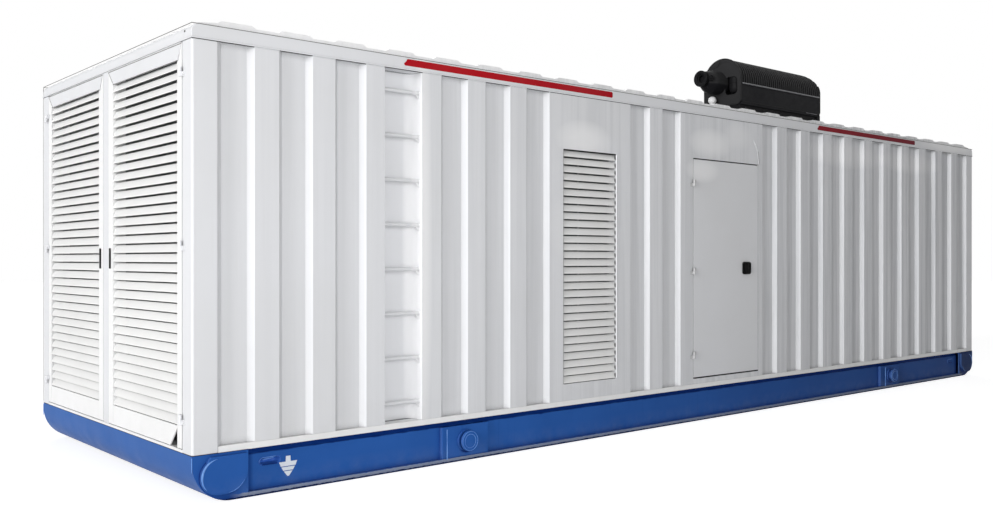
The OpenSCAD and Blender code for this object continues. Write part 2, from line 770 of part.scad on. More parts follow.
// Outline of an end plate, with its lower corners rounded
module plate_profile() {
    r = sil_r + sil_rim;
    corner_r = 60;
    d_profile(r, sil_z0 + corner_r);
    translate([-r + corner_r, sil_z0]) square([2 * (r - corner_r), corner_r + 1]);
    for (s = [-1, 1]) translate([s * (r - corner_r), sil_z0 + corner_r]) circle(corner_r);
}
// Rounded opening of the near end, seen along the axis
module pocket_profile() {
    half = sil_r - 32;
    corner_r = 60;
    z0 = sil_z0 + 112;
    intersection() {
        translate([-half, z0]) square([2 * half, pocket_z1 - z0]);
        union() {
            d_profile(half, z0 + corner_r);
            translate([-half + corner_r, z0]) square([2 * (half - corner_r), corner_r + 1]);
            for (s = [-1, 1]) translate([s * (half - corner_r), z0 + corner_r]) circle(corner_r);
        }
    }
}
// Side view of the silencer, its top rounded down to the far end
module far_end_round() {
    z1 = sil_top_z + sil_rim;
    translate([0, -sil_r - 2 * sil_rim, 0]) along_y(2 * sil_r + 4 * sil_rim) {
        translate([0, sil_z0]) square([sil_l - sil_far_r, z1 - sil_z0]);
        translate([0, sil_z0]) square([sil_l, z1 - sil_far_r - sil_z0]);
        translate([sil_l - sil_far_r, z1 - sil_far_r]) circle(sil_far_r);
    }
}
module silencer_body() {
    body_l = sil_l - 2 * sil_plate_t;
    rib_pitch = body_l / rib_count;
    color(black) silencer() difference() {
        intersection() {
            union() {
                translate([sil_plate_t, 0, 0]) along_x(body_l) d_profile(sil_r - rib_d, sil_z0);
                translate([sil_plate_t, -sil_r - sil_rim / 2, sil_z0])
                    cube([body_l, 2 * sil_r + sil_rim, sil_box_h]);
                for (i = [0:rib_count - 1]) translate([sil_plate_t + (i + 0.2) * rib_pitch, 0, 0])
                    along_x(rib_pitch * 0.6) d_profile(sil_r, sil_ledge_z - 2);
            }
            far_end_round();
        }
        along_x(sil_plate_t + sil_pocket_d) pocket_profile();
    }
}
module silencer_end_plates() {
    color(black) silencer() {
        difference() {
            along_x(sil_plate_t) plate_profile();
            translate([-1, 0, 0]) along_x(sil_plate_t + 2) pocket_profile();
        }
        intersection() {
            translate([sil_l - sil_plate_t, 0, 0]) along_x(sil_plate_t) plate_profile();
            far_end_round();
        }
    }
}
// Frame of the outlet: z along the outlet, away from the silencer's near end
module outlet() { silencer() translate([0, outlet_y, outlet_z]) rotate([0, -90, 0]) children(); }
module outlet_cone() {
    pocket_depth = sil_plate_t + sil_pocket_d;
    straight_l = 20;
    color(black) outlet() {
        translate([0, 0, -pocket_depth]) cylinder(h = pocket_depth + straight_l, r = outlet_r);
        translate([0, 0, straight_l])
            cylinder(h = outlet_l - neck_l - straight_l, r1 = outlet_r, r2 = neck_r);
    }
}
module outlet_flange() {
    color(black) outlet() translate([0, 0, outlet_l - neck_l]) difference() {
        union() {
            cylinder(h = neck_l, r = neck_r);
            translate([0, 0, neck_l - outlet_flange_t]) cylinder(h = outlet_flange_t, r = flange_r);
        }
        translate([0, 0, 5]) cylinder(h = neck_l, r = outlet_bore_r);
        for (i = [0:flange_holes - 1]) rotate([0, 0, (i + 0.5) * 360 / flange_holes])
            translate([flange_pcd / 2, 0, neck_l - outlet_flange_t - 1])
                cylinder(h = outlet_flange_t + 2, r = flange_hole_r);
    }
}
module silencer_cradle() {
    side_t = 10;
    l = sil_l - 2 * sil_plate_t;
    half = sil_r - 20;
    webs = 4;
    color(black) silencer() translate([sil_plate_t, 0, roof_top_z]) {
        for (s = [-1, 1]) translate([0, s * half - side_t / 2, 0]) cube([l, side_t, cradle_h]);
        for (i = [0:webs - 1])
            translate([i * (l - side_t) / (webs - 1), -half, 0])
                cube([side_t, 2 * half, cradle_h]);
    }
}
// A pipe through the roof with a round cap
module roof_vent() {
    top = roof_top_z + vent_h - vent_r - wall_z1;
    color(white) front() translate([vent_x, vent_y, wall_z1]) {
        cylinder(h = top, r = vent_pipe_r);
        translate([0, 0, top]) sphere(vent_r);
    }
}

base_side_rails();
base_ends();
cross_members();
lifting_lugs();
floor_deck();
corner_posts();
top_side_rails();
top_end_rails();
bottom_side_rails();
end_sills();
front_wall_left();
ladder_recess();
ladder_rungs();
front_wall_middle();
front_louvre_panel();
front_louvre_blades();
front_wall_by_door();
door_post_left();
door_post_right();
door_head();
door_sill();
front_wall_right();
front_door();
door_latch();
door_hinge_pins();
door_hinge_knuckles();
left_mullion();
left_hinge_pins();
near_end_door();
near_end_blades();
near_end_handle();
near_end_knuckles();
far_end_door();
far_end_blades();
far_end_handle();
far_end_knuckles();
rear_walls();
rear_louvre_panel();
rear_louvre_blades();
rear_door_surround();
rear_door();
rear_door_hinges();
rear_door_latch();
right_end_frame();
right_end_blades();
right_end_hinges();
right_end_handles();
roof_panel();
silencer_cradle();
silencer_body();
silencer_end_plates();
outlet_cone();
outlet_flange();
roof_vent();
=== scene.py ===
"""Looks of a containerised diesel generator set, dressed over its CAD frame. Metres, Z up."""
import math
import random

import bmesh
import bpy
from mathutils import Matrix, Vector

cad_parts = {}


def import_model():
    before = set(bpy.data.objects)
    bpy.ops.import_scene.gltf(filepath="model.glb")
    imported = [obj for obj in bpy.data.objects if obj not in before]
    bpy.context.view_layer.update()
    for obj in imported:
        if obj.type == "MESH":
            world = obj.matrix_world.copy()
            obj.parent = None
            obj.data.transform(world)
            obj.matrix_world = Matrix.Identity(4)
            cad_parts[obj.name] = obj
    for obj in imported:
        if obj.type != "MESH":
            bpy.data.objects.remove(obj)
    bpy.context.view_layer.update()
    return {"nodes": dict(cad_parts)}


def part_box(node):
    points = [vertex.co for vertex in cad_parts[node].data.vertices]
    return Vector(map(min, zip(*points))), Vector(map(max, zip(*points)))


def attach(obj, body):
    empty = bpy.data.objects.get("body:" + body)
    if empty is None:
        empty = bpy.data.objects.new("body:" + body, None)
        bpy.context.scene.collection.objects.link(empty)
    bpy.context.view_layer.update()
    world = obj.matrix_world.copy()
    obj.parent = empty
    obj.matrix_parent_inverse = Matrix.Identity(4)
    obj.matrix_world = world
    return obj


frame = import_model()
NODES = frame["nodes"]
SCENE = bpy.context.scene
DRAW = random.Random(11)

# Directions, and the two long sides
ALONG, ACROSS, UP = Vector((1, 0, 0)), Vector((0, 1, 0)), Vector((0, 0, 1))
FRONT, REAR = -1, 1

# Faces and heights of the enclosure, from the CAD boxes
END_X, FACE_Y, WALL_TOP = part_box("corner_posts")[1]
RAIL_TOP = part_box("top_side_rails")[1].z
BASE_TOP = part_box("base_ends")[1].z
SHEET_Z0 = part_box("front_wall_left")[0].z
SHEET_Z1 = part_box("front_wall_left")[1].z
LINING_Y = FACE_Y - 0.085

# Skid: its web and end blocks, and the slot in each web
WEB_RECESS = 0.040
WEB_Y = FACE_Y - WEB_RECESS
WEB_TOP = BASE_TOP - 0.040
BLOCK_X = END_X - 0.368
SLOT_X = BLOCK_X - 0.166
SLOT_Z = BASE_TOP - 0.099
BOLLARD_Z = 0.148

# Silencer: its end plates, round top and ledge, and the axis of its outlet
PLATE_LO, PLATE_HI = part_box("silencer_end_plates")
PLATE_Y = (PLATE_LO.y + PLATE_HI.y) / 2
PLATE_R = (PLATE_HI.y - PLATE_LO.y) / 2
PLATE_AXIS_Z = PLATE_HI.z - PLATE_R
LEDGE_Z = PLATE_LO.z + 0.222
FLANGE_LO, FLANGE_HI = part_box("outlet_flange")
OUTLET_Y = (FLANGE_LO.y + FLANGE_HI.y) / 2
OUTLET_Z = (FLANGE_LO.z + FLANGE_HI.z) / 2


# ---------------------------------------------------------------- shaders
class Graph:
    """The node tree of a material or a world, and short names for the nodes that it is made of."""

    def __init__(self, owner):
        owner.use_nodes = True
        self.owner = owner
        self.tree = owner.node_tree

    def put(self, value, socket):
        """Links or sets a socket."""
        if isinstance(value, bpy.types.NodeSocket):
            self.tree.links.new(value, socket)
        elif isinstance(value, (tuple, list)) and socket.type == "RGBA":
            socket.default_value = (*value[:3], 1.0)
        else:
            socket.default_value = value

    def node(self, kind, inputs, output=0, **settings):
        """Adds a node with its inputs filled, and gives one of its outputs."""
        node = self.tree.nodes.new(kind)
        for key, value in settings.items():
            setattr(node, key, value)
        for key, value in inputs.items():
            self.put(value, node.inputs[key])
        return None if output is None else node.outputs[output]

    def math(self, operation, a, b=0.0):
        return self.node("ShaderNodeMath", {0: a, 1: b}, operation=operation)

    def times(self, a, b):
        return self.math("MULTIPLY", a, b)

    def spread(self, value, low, high, out_low=0.0, out_high=1.0):
        limits = {"From Min": low, "From Max": high, "To Min": out_low, "To Max": out_high}
        return self.node("ShaderNodeMapRange", {"Value": value, **limits}, "Result")

    def seen(self):
        """1 for a ray from the camera, in a reflection or through glass."""
        seen = 0.0
        for kind in ("Camera", "Glossy", "Transmission"):
            seen = self.math("MAXIMUM", seen, self.node("ShaderNodeLightPath", {}, f"Is {kind} Ray"))
        return seen


class Paint(Graph):
    """A material on the Principled shader, patterned by the place in the frame."""

    def __init__(self, name):
        super().__init__(bpy.data.materials.new(name))
        self.bsdf = self.tree.nodes["Principled BSDF"]
        self.position = self.node("ShaderNodeTexCoord", {}, "Object")
        self.normal = self.node("ShaderNodeNewGeometry", {}, "Normal")

    def axis(self, name, vector=None):
        return self.node("ShaderNodeSeparateXYZ", {0: vector or self.position}, name)

    def facing(self, name):
        """How far a face looks along an axis, from -1 to 1."""
        return self.axis(name, self.normal)

    def off_centre(self, name):
        """Distance from the middle plane across an axis."""
        return self.math("ABSOLUTE", self.axis(name))

    def noise(self, scale, detail=3.0, rough=0.55, vector=None):
        inputs = {"Vector": vector or self.position, "Scale": scale, "Detail": detail, "Roughness": rough}
        return self.node("ShaderNodeTexNoise", inputs, "Fac")

    def varied(self, scale, low, high):
        """A value that drifts in clouds between two limits."""
        return self.spread(self.noise(scale), 0.3, 0.7, low, high)

    def stretched(self, x, y, z):
        """The place, with each axis scaled, so that a pattern is drawn out along the small ones."""
        return self.node("ShaderNodeMapping", {"Vector": self.position, "Scale": (x, y, z)})

    def mix(self, factor, a, b):
        return self.node("ShaderNodeMix", {"Factor": factor, "A": a, "B": b}, "Result", data_type="RGBA")

    def bump(self, height, distance, strength=1.0, below=None):
        inputs = {"Strength": strength, "Distance": distance, "Height": height}
        if below:
            inputs["Normal"] = below
        return self.node("ShaderNodeBump", inputs, "Normal")

    def finish(self, colour, rough, normal, specular=0.4, metallic=0.0):
        looks = {"Base Color": colour, "Roughness": rough, "Normal": normal}
        for key, value in {**looks, "Specular IOR Level": specular, "Metallic": metallic}.items():
            self.put(value, self.bsdf.inputs[key])
        return self.owner


def srgb(red, green, blue):
    """Linear colour of an 8-bit display colour."""
    return tuple(((c / 255 + 0.055) / 1.055) ** 2.4 if c > 10 else c / 3294.6 for c in (red, green, blue))


WHITE = srgb(229, 230, 233)
WHITE_DULL = srgb(214, 214, 213)
WHITE_ROLLED = srgb(188, 190, 194)
# Lighter white, a lit copy for the roof, and the colour of painted highlight patches
BRIGHT = srgb(249, 249, 250)
DUST = srgb(176, 170, 158)
# Painted shade for inner corners
CORNER_SHADE = srgb(120, 121, 124)
# Painted shade for the undersides of louvre blades
BLADE_UNDERSIDE_SHADE = srgb(44, 41, 38)
LINING = srgb(196, 198, 200)
PERFORATION = srgb(52, 54, 58)
BLUE = srgb(48, 97, 174)
BLUE_DEEP = srgb(38, 82, 154)
# Painted sheen for the left end faces of the skid
BLUE_END_SHEEN = srgb(98, 130, 182)
# Dust, and painted sheen on the skid's lower lip
BLUE_DUST_AND_SHEEN = srgb(150, 158, 172)
# Painted highlights on the skid's edges
BLUE_HIGHLIGHT = srgb(124, 172, 238)
BLUE_SHADE = srgb(14, 46, 112)
# Painted shadow in the groove under the wall
GROOVE_SHADE = srgb(14, 48, 116)
# Painted shade where the light falls off towards the right end, and deeper on the right end block
BLUE_FAR_SHADE = srgb(56, 62, 94)
BLUE_FAR_BLOCK_SHADE = srgb(20, 28, 52)
# Painted shadow along the ground
GROUND_SHADOW = srgb(12, 13, 18)
BLACK = srgb(17, 17, 19)
BLACK_WORN = srgb(32, 32, 33)
BLACK_DUSTY = srgb(84, 83, 80)
CASING = srgb(20, 20, 23)
# Painted light on the ribbed top of the silencer's casing
CASING_RIBS_LIT = srgb(44, 44, 45)
CASING_WORN = srgb(40, 40, 41)
# Painted shade for the casing's inner corners
CASING_CORNER_SHADE = srgb(6, 6, 6)
FITTING = srgb(3, 3, 4)
FITTING_WORN = srgb(8, 8, 9)
RED = srgb(178, 18, 30)
# Painted shade that the stripes turn to towards the right end
RED_FAR_SHADE = srgb(92, 12, 32)


def sheet_relief(g, waves, grain):
    """Shallow waves of thin plate under the fine grain of sprayed paint."""
    plate = g.bump(g.noise(1.7, 2.0, 0.5), waves)
    return g.bump(g.noise(420, 2.0, 0.6), grain, 0.5, plate)


def weathered(g, clean, dull, amount):
    """Paint that is dulled in broad clouds and in thin streaks that run down."""
    clouds = g.spread(g.noise(0.9, 4.0, 0.6), 0.42, 0.72, 0.0, amount)
    streaks = g.spread(g.noise(3.0, 4.0, 0.7, g.stretched(7.0, 7.0, 0.22)), 0.55, 0.8, 0.0, amount)
    return g.mix(g.math("MAXIMUM", clouds, streaks), clean, dull)


def low_dust(g, colour, dust, bottom, top, amount):
    """Dust that was splashed up from the ground, thinner with height."""
    height = g.spread(g.axis("Z"), bottom, top, amount, 0.0)
    patches = g.spread(g.noise(9.0, 5.0, 0.65), 0.35, 0.7)
    return g.mix(g.times(height, patches), colour, dust)


def crevice_shade(g, colour, shade_colour, reach, amount):
    """Painted shade in inner corners, darker where an occlusion test finds them closed in."""
    openness = g.node("ShaderNodeAmbientOcclusion", {"Distance": reach}, "AO", samples=6)
    return g.mix(g.spread(openness, 0.35, 0.90, amount, 0.0), colour, shade_colour)


# Painted highlight patches on the front, on its plate, its top rail and the right wall of the ladder recess:
# x, z, half width, half height, strength
HIGHLIGHT_PATCHES = [
    (-1.90, 2.46, 0.34, 0.17, 0.75), (-0.22, 2.56, 0.34, 0.15, 0.70), (-0.34, 2.30, 0.26, 0.12, 0.65),
    (0.20, 2.66, 0.24, 0.14, 0.35), (4.60, 2.88, 0.85, 0.09, 1.0), (2.20, 2.62, 0.9, 0.16, 0.5),
    (3.60, 2.62, 0.8, 0.14, 0.45), (-2.05, 1.75, 0.30, 0.30, 0.25),
    (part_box("ladder_recess")[1].x, 1.62, 0.090, 1.90, 0.85),
]


def paint_highlight_patches(g, colour):
    """Paints the highlight patches lighter, on the front only."""
    front = g.math("LESS_THAN", g.axis("Y"), -FACE_Y + 0.150)
    for x, z, half_w, half_h, amount in HIGHLIGHT_PATCHES:
        along = g.math("DIVIDE", g.math("SUBTRACT", g.axis("X"), x), half_w)
        above = g.math("DIVIDE", g.math("SUBTRACT", g.axis("Z"), z), half_h)
        far = g.math("ADD", g.times(along, along), g.times(above, above))
        colour = g.mix(g.times(g.spread(far, 1.0, 0.1, 0.0, amount), front), colour, BRIGHT)
    return colour


def roller_bands_and_far_shade(g, colour):
    """Fine upright bands left by the rollers of the sheet, and painted shade: the bands grow stronger towards
    the right end, where the light falls off.
    """
    bands = g.noise(16.0, 3.0, 0.6, g.stretched(1.0, 1.0, 0.02))
    # Painted shade: more of the darker bands towards the right end
    amount = g.spread(g.axis("X"), -4.0, 5.0, 0.08, 0.62)
    return g.mix(g.times(g.spread(bands, 0.42, 0.62), amount), colour, WHITE_ROLLED)


def perforated_lining(g, colour):
    """Perforated sheet on the inner faces of the walls and the roof."""
    pitch = 0.016
    between_walls = g.math("LESS_THAN", g.off_centre("Y"), LINING_Y)
    inside = g.times(between_walls, g.math("LESS_THAN", g.axis("Z"), RAIL_TOP - 0.020))
    rows = [g.math("SUBTRACT", g.math("FRACT", g.math("DIVIDE", g.axis(a), pitch)), 0.5) for a in "XZ"]
    hole = g.math("LESS_THAN", g.math("ADD", *[g.times(row, row) for row in rows]), 0.045)
    return g.mix(inside, colour, g.mix(hole, LINING, PERFORATION))


def white_paint(name, base=WHITE, corner_shading=0.62, lined=False, blades=False):
    """White of the enclosure, with painted highlight patches and painted shade in inner corners. Walls are
    lined inside, and louvre blades take painted shade beneath.
    """
    g = Paint(name)
    colour = weathered(g, base, WHITE_DULL, 0.22)
    if lined:
        colour = roller_bands_and_far_shade(g, colour)
    # Painted highlight patches, under low dust
    colour = low_dust(g, paint_highlight_patches(g, colour), DUST, 0.30, 0.55, 0.08)
    # Painted shade in inner corners
    colour = crevice_shade(g, colour, CORNER_SHADE, 0.045, corner_shading)
    if blades:
        # Painted shade on the blades' undersides
        colour = g.mix(g.spread(g.facing("Z"), -0.25, -0.55), colour, BLADE_UNDERSIDE_SHADE)
    if lined:
        colour = perforated_lining(g, colour)
    return g.finish(colour, g.varied(5.0, 0.36, 0.50), sheet_relief(g, 0.0035, 0.0006), specular=0.22)


def web_shade(g, colour, depth, height):
    """Painted shadow in the groove under the wall and in the corners beside the end blocks, on the webs alone.
    """
    web = g.times(g.spread(depth, 0.028, 0.036), g.math("LESS_THAN", g.off_centre("X"), BLOCK_X))
    wavy = g.math("ADD", height, g.varied(7.0, -0.006, 0.006))
    groove = g.times(web, g.spread(wavy, WEB_TOP - 0.006, WEB_TOP + 0.004))
    corner = g.times(web, g.spread(g.off_centre("X"), BLOCK_X - 0.055, BLOCK_X - 0.030, 0.0, 0.55))
    return g.mix(corner, g.mix(groove, colour, GROOVE_SHADE), BLUE_SHADE)


def skid_foot(g, colour, depth, height):
    """Lower lip between the end blocks in dust and painted sheen, painted shade on the feet of the end blocks,
    and painted shadow along the ground.
    """
    ragged = g.math("ADD", height, g.varied(30.0, -0.003, 0.003))
    between = g.spread(g.off_centre("X"), END_X - 0.24, END_X - 0.34)
    lip = g.times(g.spread(ragged, 0.034, 0.028), g.spread(depth, 0.006, 0.001, 0.15, 0.9))
    colour = g.mix(g.times(lip, between), colour, BLUE_DUST_AND_SHEEN)
    foot = g.spread(height, 0.070, 0.015, 0.0, 0.6)
    colour = g.mix(g.times(foot, g.math("SUBTRACT", 1.0, between)), colour, BLUE_SHADE)
    return g.mix(g.math("LESS_THAN", ragged, 0.011), colour, GROUND_SHADOW)


def blue_paint(name):
    """Blue of the skid, with painted sheen on its left end faces and painted shade that deepens towards its
    right end, where the light falls off.
    """
    g = Paint(name)
    height = g.axis("Z")
    depth = g.math("SUBTRACT", FACE_Y, g.off_centre("Y"))
    colour = weathered(g, BLUE, BLUE_DEEP, 0.6)
    # Painted shade towards the right end, deepest on the right end block
    colour = g.mix(g.spread(g.axis("X"), -2.5, 5.3, 0.0, 0.47), colour, BLUE_FAR_SHADE)
    colour = g.mix(g.spread(g.axis("X"), BLOCK_X - 0.01, BLOCK_X + 0.01, 0.0, 0.6), colour, BLUE_FAR_BLOCK_SHADE)
    # Painted sheen: faces of the left end lighter and greyer
    colour = g.mix(g.spread(g.facing("X"), -0.5, -0.9, 0.0, 0.30), colour, BLUE_END_SHEEN)
    colour = low_dust(g, colour, BLUE_DUST_AND_SHEEN, 0.0, 0.16, 0.16)
    colour = web_shade(g, colour, depth, height)
    colour = skid_foot(g, colour, depth, height)
    # Painted shade in inner corners
    colour = crevice_shade(g, colour, BLUE_SHADE, 0.05, 0.7)
    return g.finish(colour, g.varied(6.0, 0.30, 0.44), sheet_relief(g, 0.006, 0.0005), specular=0.012)


def black_paint(name, dark=BLACK, worn=BLACK_WORN):
    """Dull black, a little dusty on top."""
    g = Paint(name)
    colour = weathered(g, dark, worn, 0.55)
    upward = g.spread(g.facing("Z"), 0.3, 1.0, 0.0, 0.25)
    colour = g.mix(g.times(upward, g.noise(14.0)), colour, BLACK_DUSTY)
    return g.finish(colour, g.varied(20.0, 0.44, 0.60), sheet_relief(g, 0.002, 0.0012), specular=0.06)


def casing_paint(name):
    """Black of the silencer's casing, painted lighter above its ledge as painted light on the ribbed top, with
    worn clouds and painted shade in its corners.
    """
    g = Paint(name)
    # Painted light: the ribbed top above the ledge is lighter than the sides
    ribbed = g.spread(g.axis("Z"), LEDGE_Z - 0.004, LEDGE_Z + 0.004)
    colour = g.mix(ribbed, CASING, CASING_RIBS_LIT)
    colour = g.mix(g.spread(g.noise(2.4, 4.0), 0.4, 0.75, 0.0, 0.4), colour, CASING_WORN)
    colour = crevice_shade(g, colour, CASING_CORNER_SHADE, 0.02, 0.85)
    return g.finish(colour, g.varied(20.0, 0.46, 0.60), sheet_relief(g, 0.002, 0.0012), specular=0.06)


def plain_paint(name, colour, other, rough, specular):
    """Paint or sealant that drifts between two tones, for edges and other narrow pieces, and for painted
    highlight and shadow strips.
    """
    g = Paint(name)
    tone = g.mix(g.spread(g.noise(12.0, 4.0), 0.3, 0.7), colour, other)
    return g.finish(tone, g.varied(25.0, rough, rough + 0.12), g.bump(g.noise(300.0), 0.0004), specular)


def moulded_plastic(name):
    """Grained black plastic."""
    g = Paint(name)
    cells = g.node("ShaderNodeTexVoronoi", {"Vector": g.position, "Scale": 900.0}, "Distance")
    colour = g.mix(g.noise(30.0), FITTING, FITTING_WORN)
    return g.finish(colour, g.varied(40.0, 0.42, 0.55), g.bump(cells, 0.0004, 0.6), specular=0.05)


def rubber(name):
    """Matt black seals and sealant."""
    g = Paint(name)
    colour = g.mix(g.noise(60.0, 4.0), srgb(22, 22, 23), srgb(44, 43, 42))
    return g.finish(colour, 0.8, g.bump(g.noise(300.0), 0.0004), specular=0.25)


def vinyl(name, colour, deep=None):
    """Faded film. With a deep tone, it turns to that towards the right end, as painted shade where the light
    falls off.
    """
    g = Paint(name)
    faded = tuple(0.86 * c + 0.05 for c in colour)
    tone = g.mix(g.spread(g.noise(2.2, 4.0), 0.4, 0.75, 0.0, 0.3), colour, faded)
    if deep:
        # Painted shade towards the right end
        tone = g.mix(g.spread(g.axis("X"), -3.0, 3.8, 0.0, 0.90), tone, deep)
    return g.finish(tone, 0.55, g.bump(g.noise(500.0), 0.0003), specular=0.10)


def tread_plate(name):
    """Steel floor with raised lozenges, dirty in patches."""
    g = Paint(name)
    turned = g.node("ShaderNodeMapping", {"Vector": g.position, "Rotation": (0, 0, math.radians(45))})
    waves = [g.math("SINE", g.times(g.axis(a, turned), 105.0)) for a in "XY"]
    bars = [g.math("ABSOLUTE", wave) for wave in waves]
    lozenge = g.math("GREATER_THAN", g.times(bars[0], g.math("POWER", bars[1], 4.0)), 0.55)
    colour = g.mix(lozenge, srgb(86, 90, 95), srgb(150, 153, 157))
    colour = g.mix(g.spread(g.noise(4.0, 5.0), 0.4, 0.7, 0.0, 0.5), colour, srgb(70, 66, 60))
    return g.finish(colour, 0.45, g.bump(lozenge, 0.002), metallic=0.5)


# Each finish and its material, under the record's slot that they belong to
FINISHES = {
    "enclosure_white": {
        "paint": white_paint("enclosure_paint"),
        "wall": white_paint("wall_paint", lined=True),
        # Lit copy of the white for the roof, lighter than the walls
        "roof_paint": white_paint("roof_paint", BRIGHT, 0.30, lined=True),
        "recess_paint": white_paint("recess_paint", corner_shading=0.15),
        # Lit copies of the white, lighter than the walls, for the end doors, sills, bottom rails and blades
        "bright_paint": white_paint("bright_paint", srgb(247, 247, 247), 0.35),
        "blade_paint": white_paint("blade_paint", srgb(245, 245, 244), 0.28, blades=True),
        "red": vinyl("red_stripe", RED, RED_FAR_SHADE),
    },
    "white_fittings": {
        "fitting_paint": white_paint("fitting_paint", corner_shading=0.15),
        # Shaded copy of the white, darker so that the hinges show smaller glints
        "hinge_paint": white_paint("hinge_paint", srgb(196, 196, 197)),
        "cap_paint": white_paint("cap_paint", srgb(206, 206, 207)),
        "mark": vinyl("mark_white", srgb(226, 232, 240)),
    },
    "base_blue": {
        "blue": blue_paint("base_paint"),
        # Painted highlight strips and painted shadow strips of the skid
        "blue_highlight": plain_paint("base_edge_paint", BLUE_HIGHLIGHT, srgb(72, 120, 200), 0.3, 0.3),
        "blue_shade": plain_paint("base_shade_paint", BLUE_SHADE, GROOVE_SHADE, 0.5, 0.1),
        "blue_cup": plain_paint("base_cup_paint", srgb(62, 108, 192), srgb(36, 80, 160), 0.25, 0.10),
    },
    "silencer_black": {
        "black": black_paint("silencer_paint"),
        "black_plate": black_paint("silencer_plate_paint", srgb(38, 38, 39), srgb(50, 50, 51)),
        "casing": casing_paint("casing_paint"),
        # Painted highlight lines on the casing
        "worn_edge": plain_paint("worn_edge", srgb(124, 124, 128), srgb(104, 104, 108), 0.35, 0.4),
    },
    "fittings_black": {
        "moulded": moulded_plastic("moulded_black"),
        "rubber": rubber("rubber_seal"),
        "bead": plain_paint("sealant_bead", srgb(92, 91, 90), srgb(120, 118, 114), 0.6, 0.2),
    },
    "floor_plate": {"floor": tread_plate("tread_plate")},
}
MATERIALS = {finish: material for group in FINISHES.values() for finish, material in group.items()}

# Each CAD node by its finish, and by the width of the round on its edges
DRESS = {
    "blue": {0: "cross_members", 0.004: "base_side_rails", 0.006: "base_ends lifting_lugs"},
    "floor": {0: "floor_deck"},
    "paint": {
        0: "ladder_rungs", 0.0015: "front_door", 0.003: "top_side_rails top_end_rails",
        0.004: "rear_door left_mullion", 0.006: "corner_posts",
    },
    "bright_paint": {
        0.001: "bottom_side_rails", 0.003: "near_end_door far_end_door right_end_frame end_sills",
    },
    "recess_paint": {0.003: "ladder_recess"},
    "roof_paint": {0.004: "roof_panel"},
    "blade_paint": {
        0.001: "front_louvre_blades rear_louvre_blades near_end_blades far_end_blades right_end_blades",
    },
    "wall": {
        0.0025: "front_wall_left front_wall_middle front_louvre_panel front_wall_by_door "
                "front_wall_right rear_walls rear_louvre_panel",
        0.003: "door_post_left door_post_right door_head door_sill rear_door_surround",
    },
    "fitting_paint": {0.001: "left_hinge_pins near_end_knuckles far_end_knuckles right_end_hinges"},
    "hinge_paint": {0.001: "door_hinge_pins door_hinge_knuckles rear_door_hinges"},
    "cap_paint": {0: "roof_vent"},
    "moulded": {
        0.003: "door_latch rear_door_latch", 0.004: "near_end_handle far_end_handle right_end_handles",
    },
    "black": {0: "outlet_cone", 0.002: "silencer_cradle outlet_flange"},
    "casing": {0: "silencer_body"},
    "black_plate": {0.004: "silencer_end_plates"},
}


def soften(obj, width):
    """Rounds the edges of a CAD node by modifiers alone."""
    weld = obj.modifiers.new("weld", "WELD")
    weld.merge_threshold = 0.00005
    flat = obj.modifiers.new("flat", "DECIMATE")
    flat.decimate_type = "DISSOLVE"
    flat.angle_limit = math.radians(0.5)
    edge = obj.modifiers.new("round", "BEVEL")
    edge.width = width
    edge.segments = 3
    edge.limit_method = "ANGLE"
    edge.angle_limit = math.radians(32)
    edge.use_clamp_overlap = True
    shade = obj.modifiers.new("shade", "WEIGHTED_NORMAL")
    shade.weight = 60


def dress_cad():
    """Gives each CAD node its finish, and rounds its edges."""
    for finish, widths in DRESS.items():
        for width, names in widths.items():
            for name in names.split():
                obj = NODES[name]
                for slot in obj.material_slots:
                    slot.material = MATERIALS[finish]
                if width:
                    soften(obj, width)


# ---------------------------------------------------------------- mesh helpers
def piece(name, bm, finish, body="enclosure", sharp=35):
    """Makes the mesh a piece of the object, in its finish, on its body."""
    mesh = bpy.data.meshes.new(name)
    bmesh.ops.recalc_face_normals(bm, faces=bm.faces)
    bm.to_mesh(mesh)
    bm.free()
    for face in mesh.polygons:
        face.use_smooth = True
    mesh.set_sharp_from_angle(angle=math.radians(sharp))
    mesh.materials.append(MATERIALS[finish])
    obj = bpy.data.objects.new(name, mesh)
    SCENE.collection.objects.link(obj)
    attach(obj, body)
    return obj


def join_rings(bm, rings, closed=True):
    """Faces between one row of points and the next. A row of one point is a tip."""
    for low, high in zip(rings, rings[1:]):
        count = max(len(low), len(high))
        for i in range(count if closed else count - 1):
            corners = [low[i % len(low)], low[(i + 1) % len(low)]]
            corners += [high[(i + 1) % len(high)], high[i % len(high)]]
            bm.faces.new(list(dict.fromkeys(corners)))


def add_box(bm, lo, hi, edge=0.001, segments=2):
    """A block with rounded edges."""
    lo, hi = Vector(map(min, lo, hi)), Vector(map(max, lo, hi))
    matrix = Matrix.Translation((lo + hi) / 2) @ Matrix.Diagonal((*(hi - lo), 1.0))
    made = bmesh.ops.create_cube(bm, size=1.0, matrix=matrix)
    edges = {e for v in made["verts"] for e in v.link_edges}
    width = min(edge, 0.45 * min(hi - lo))
    bmesh.ops.bevel(bm, geom=list(edges), offset=width, segments=segments, affect="EDGES", profile=0.5)


def add_lathe(bm, origin, axis, profile, sides=24):
    """Turns (radius, distance along the axis) points about the axis. A radius of 0 closes the end."""
    turn = Vector(axis).to_track_quat("Z", "Y").to_matrix()
    rings = []
    for radius, along in profile:
        angles = [2 * math.pi * i / sides for i in range(sides if radius else 1)]
        points = [Vector((radius * math.cos(a), radius * math.sin(a), along)) for a in angles]
        rings.append([bm.verts.new(Vector(origin) + turn @ point) for point in points])
    join_rings(bm, rings)


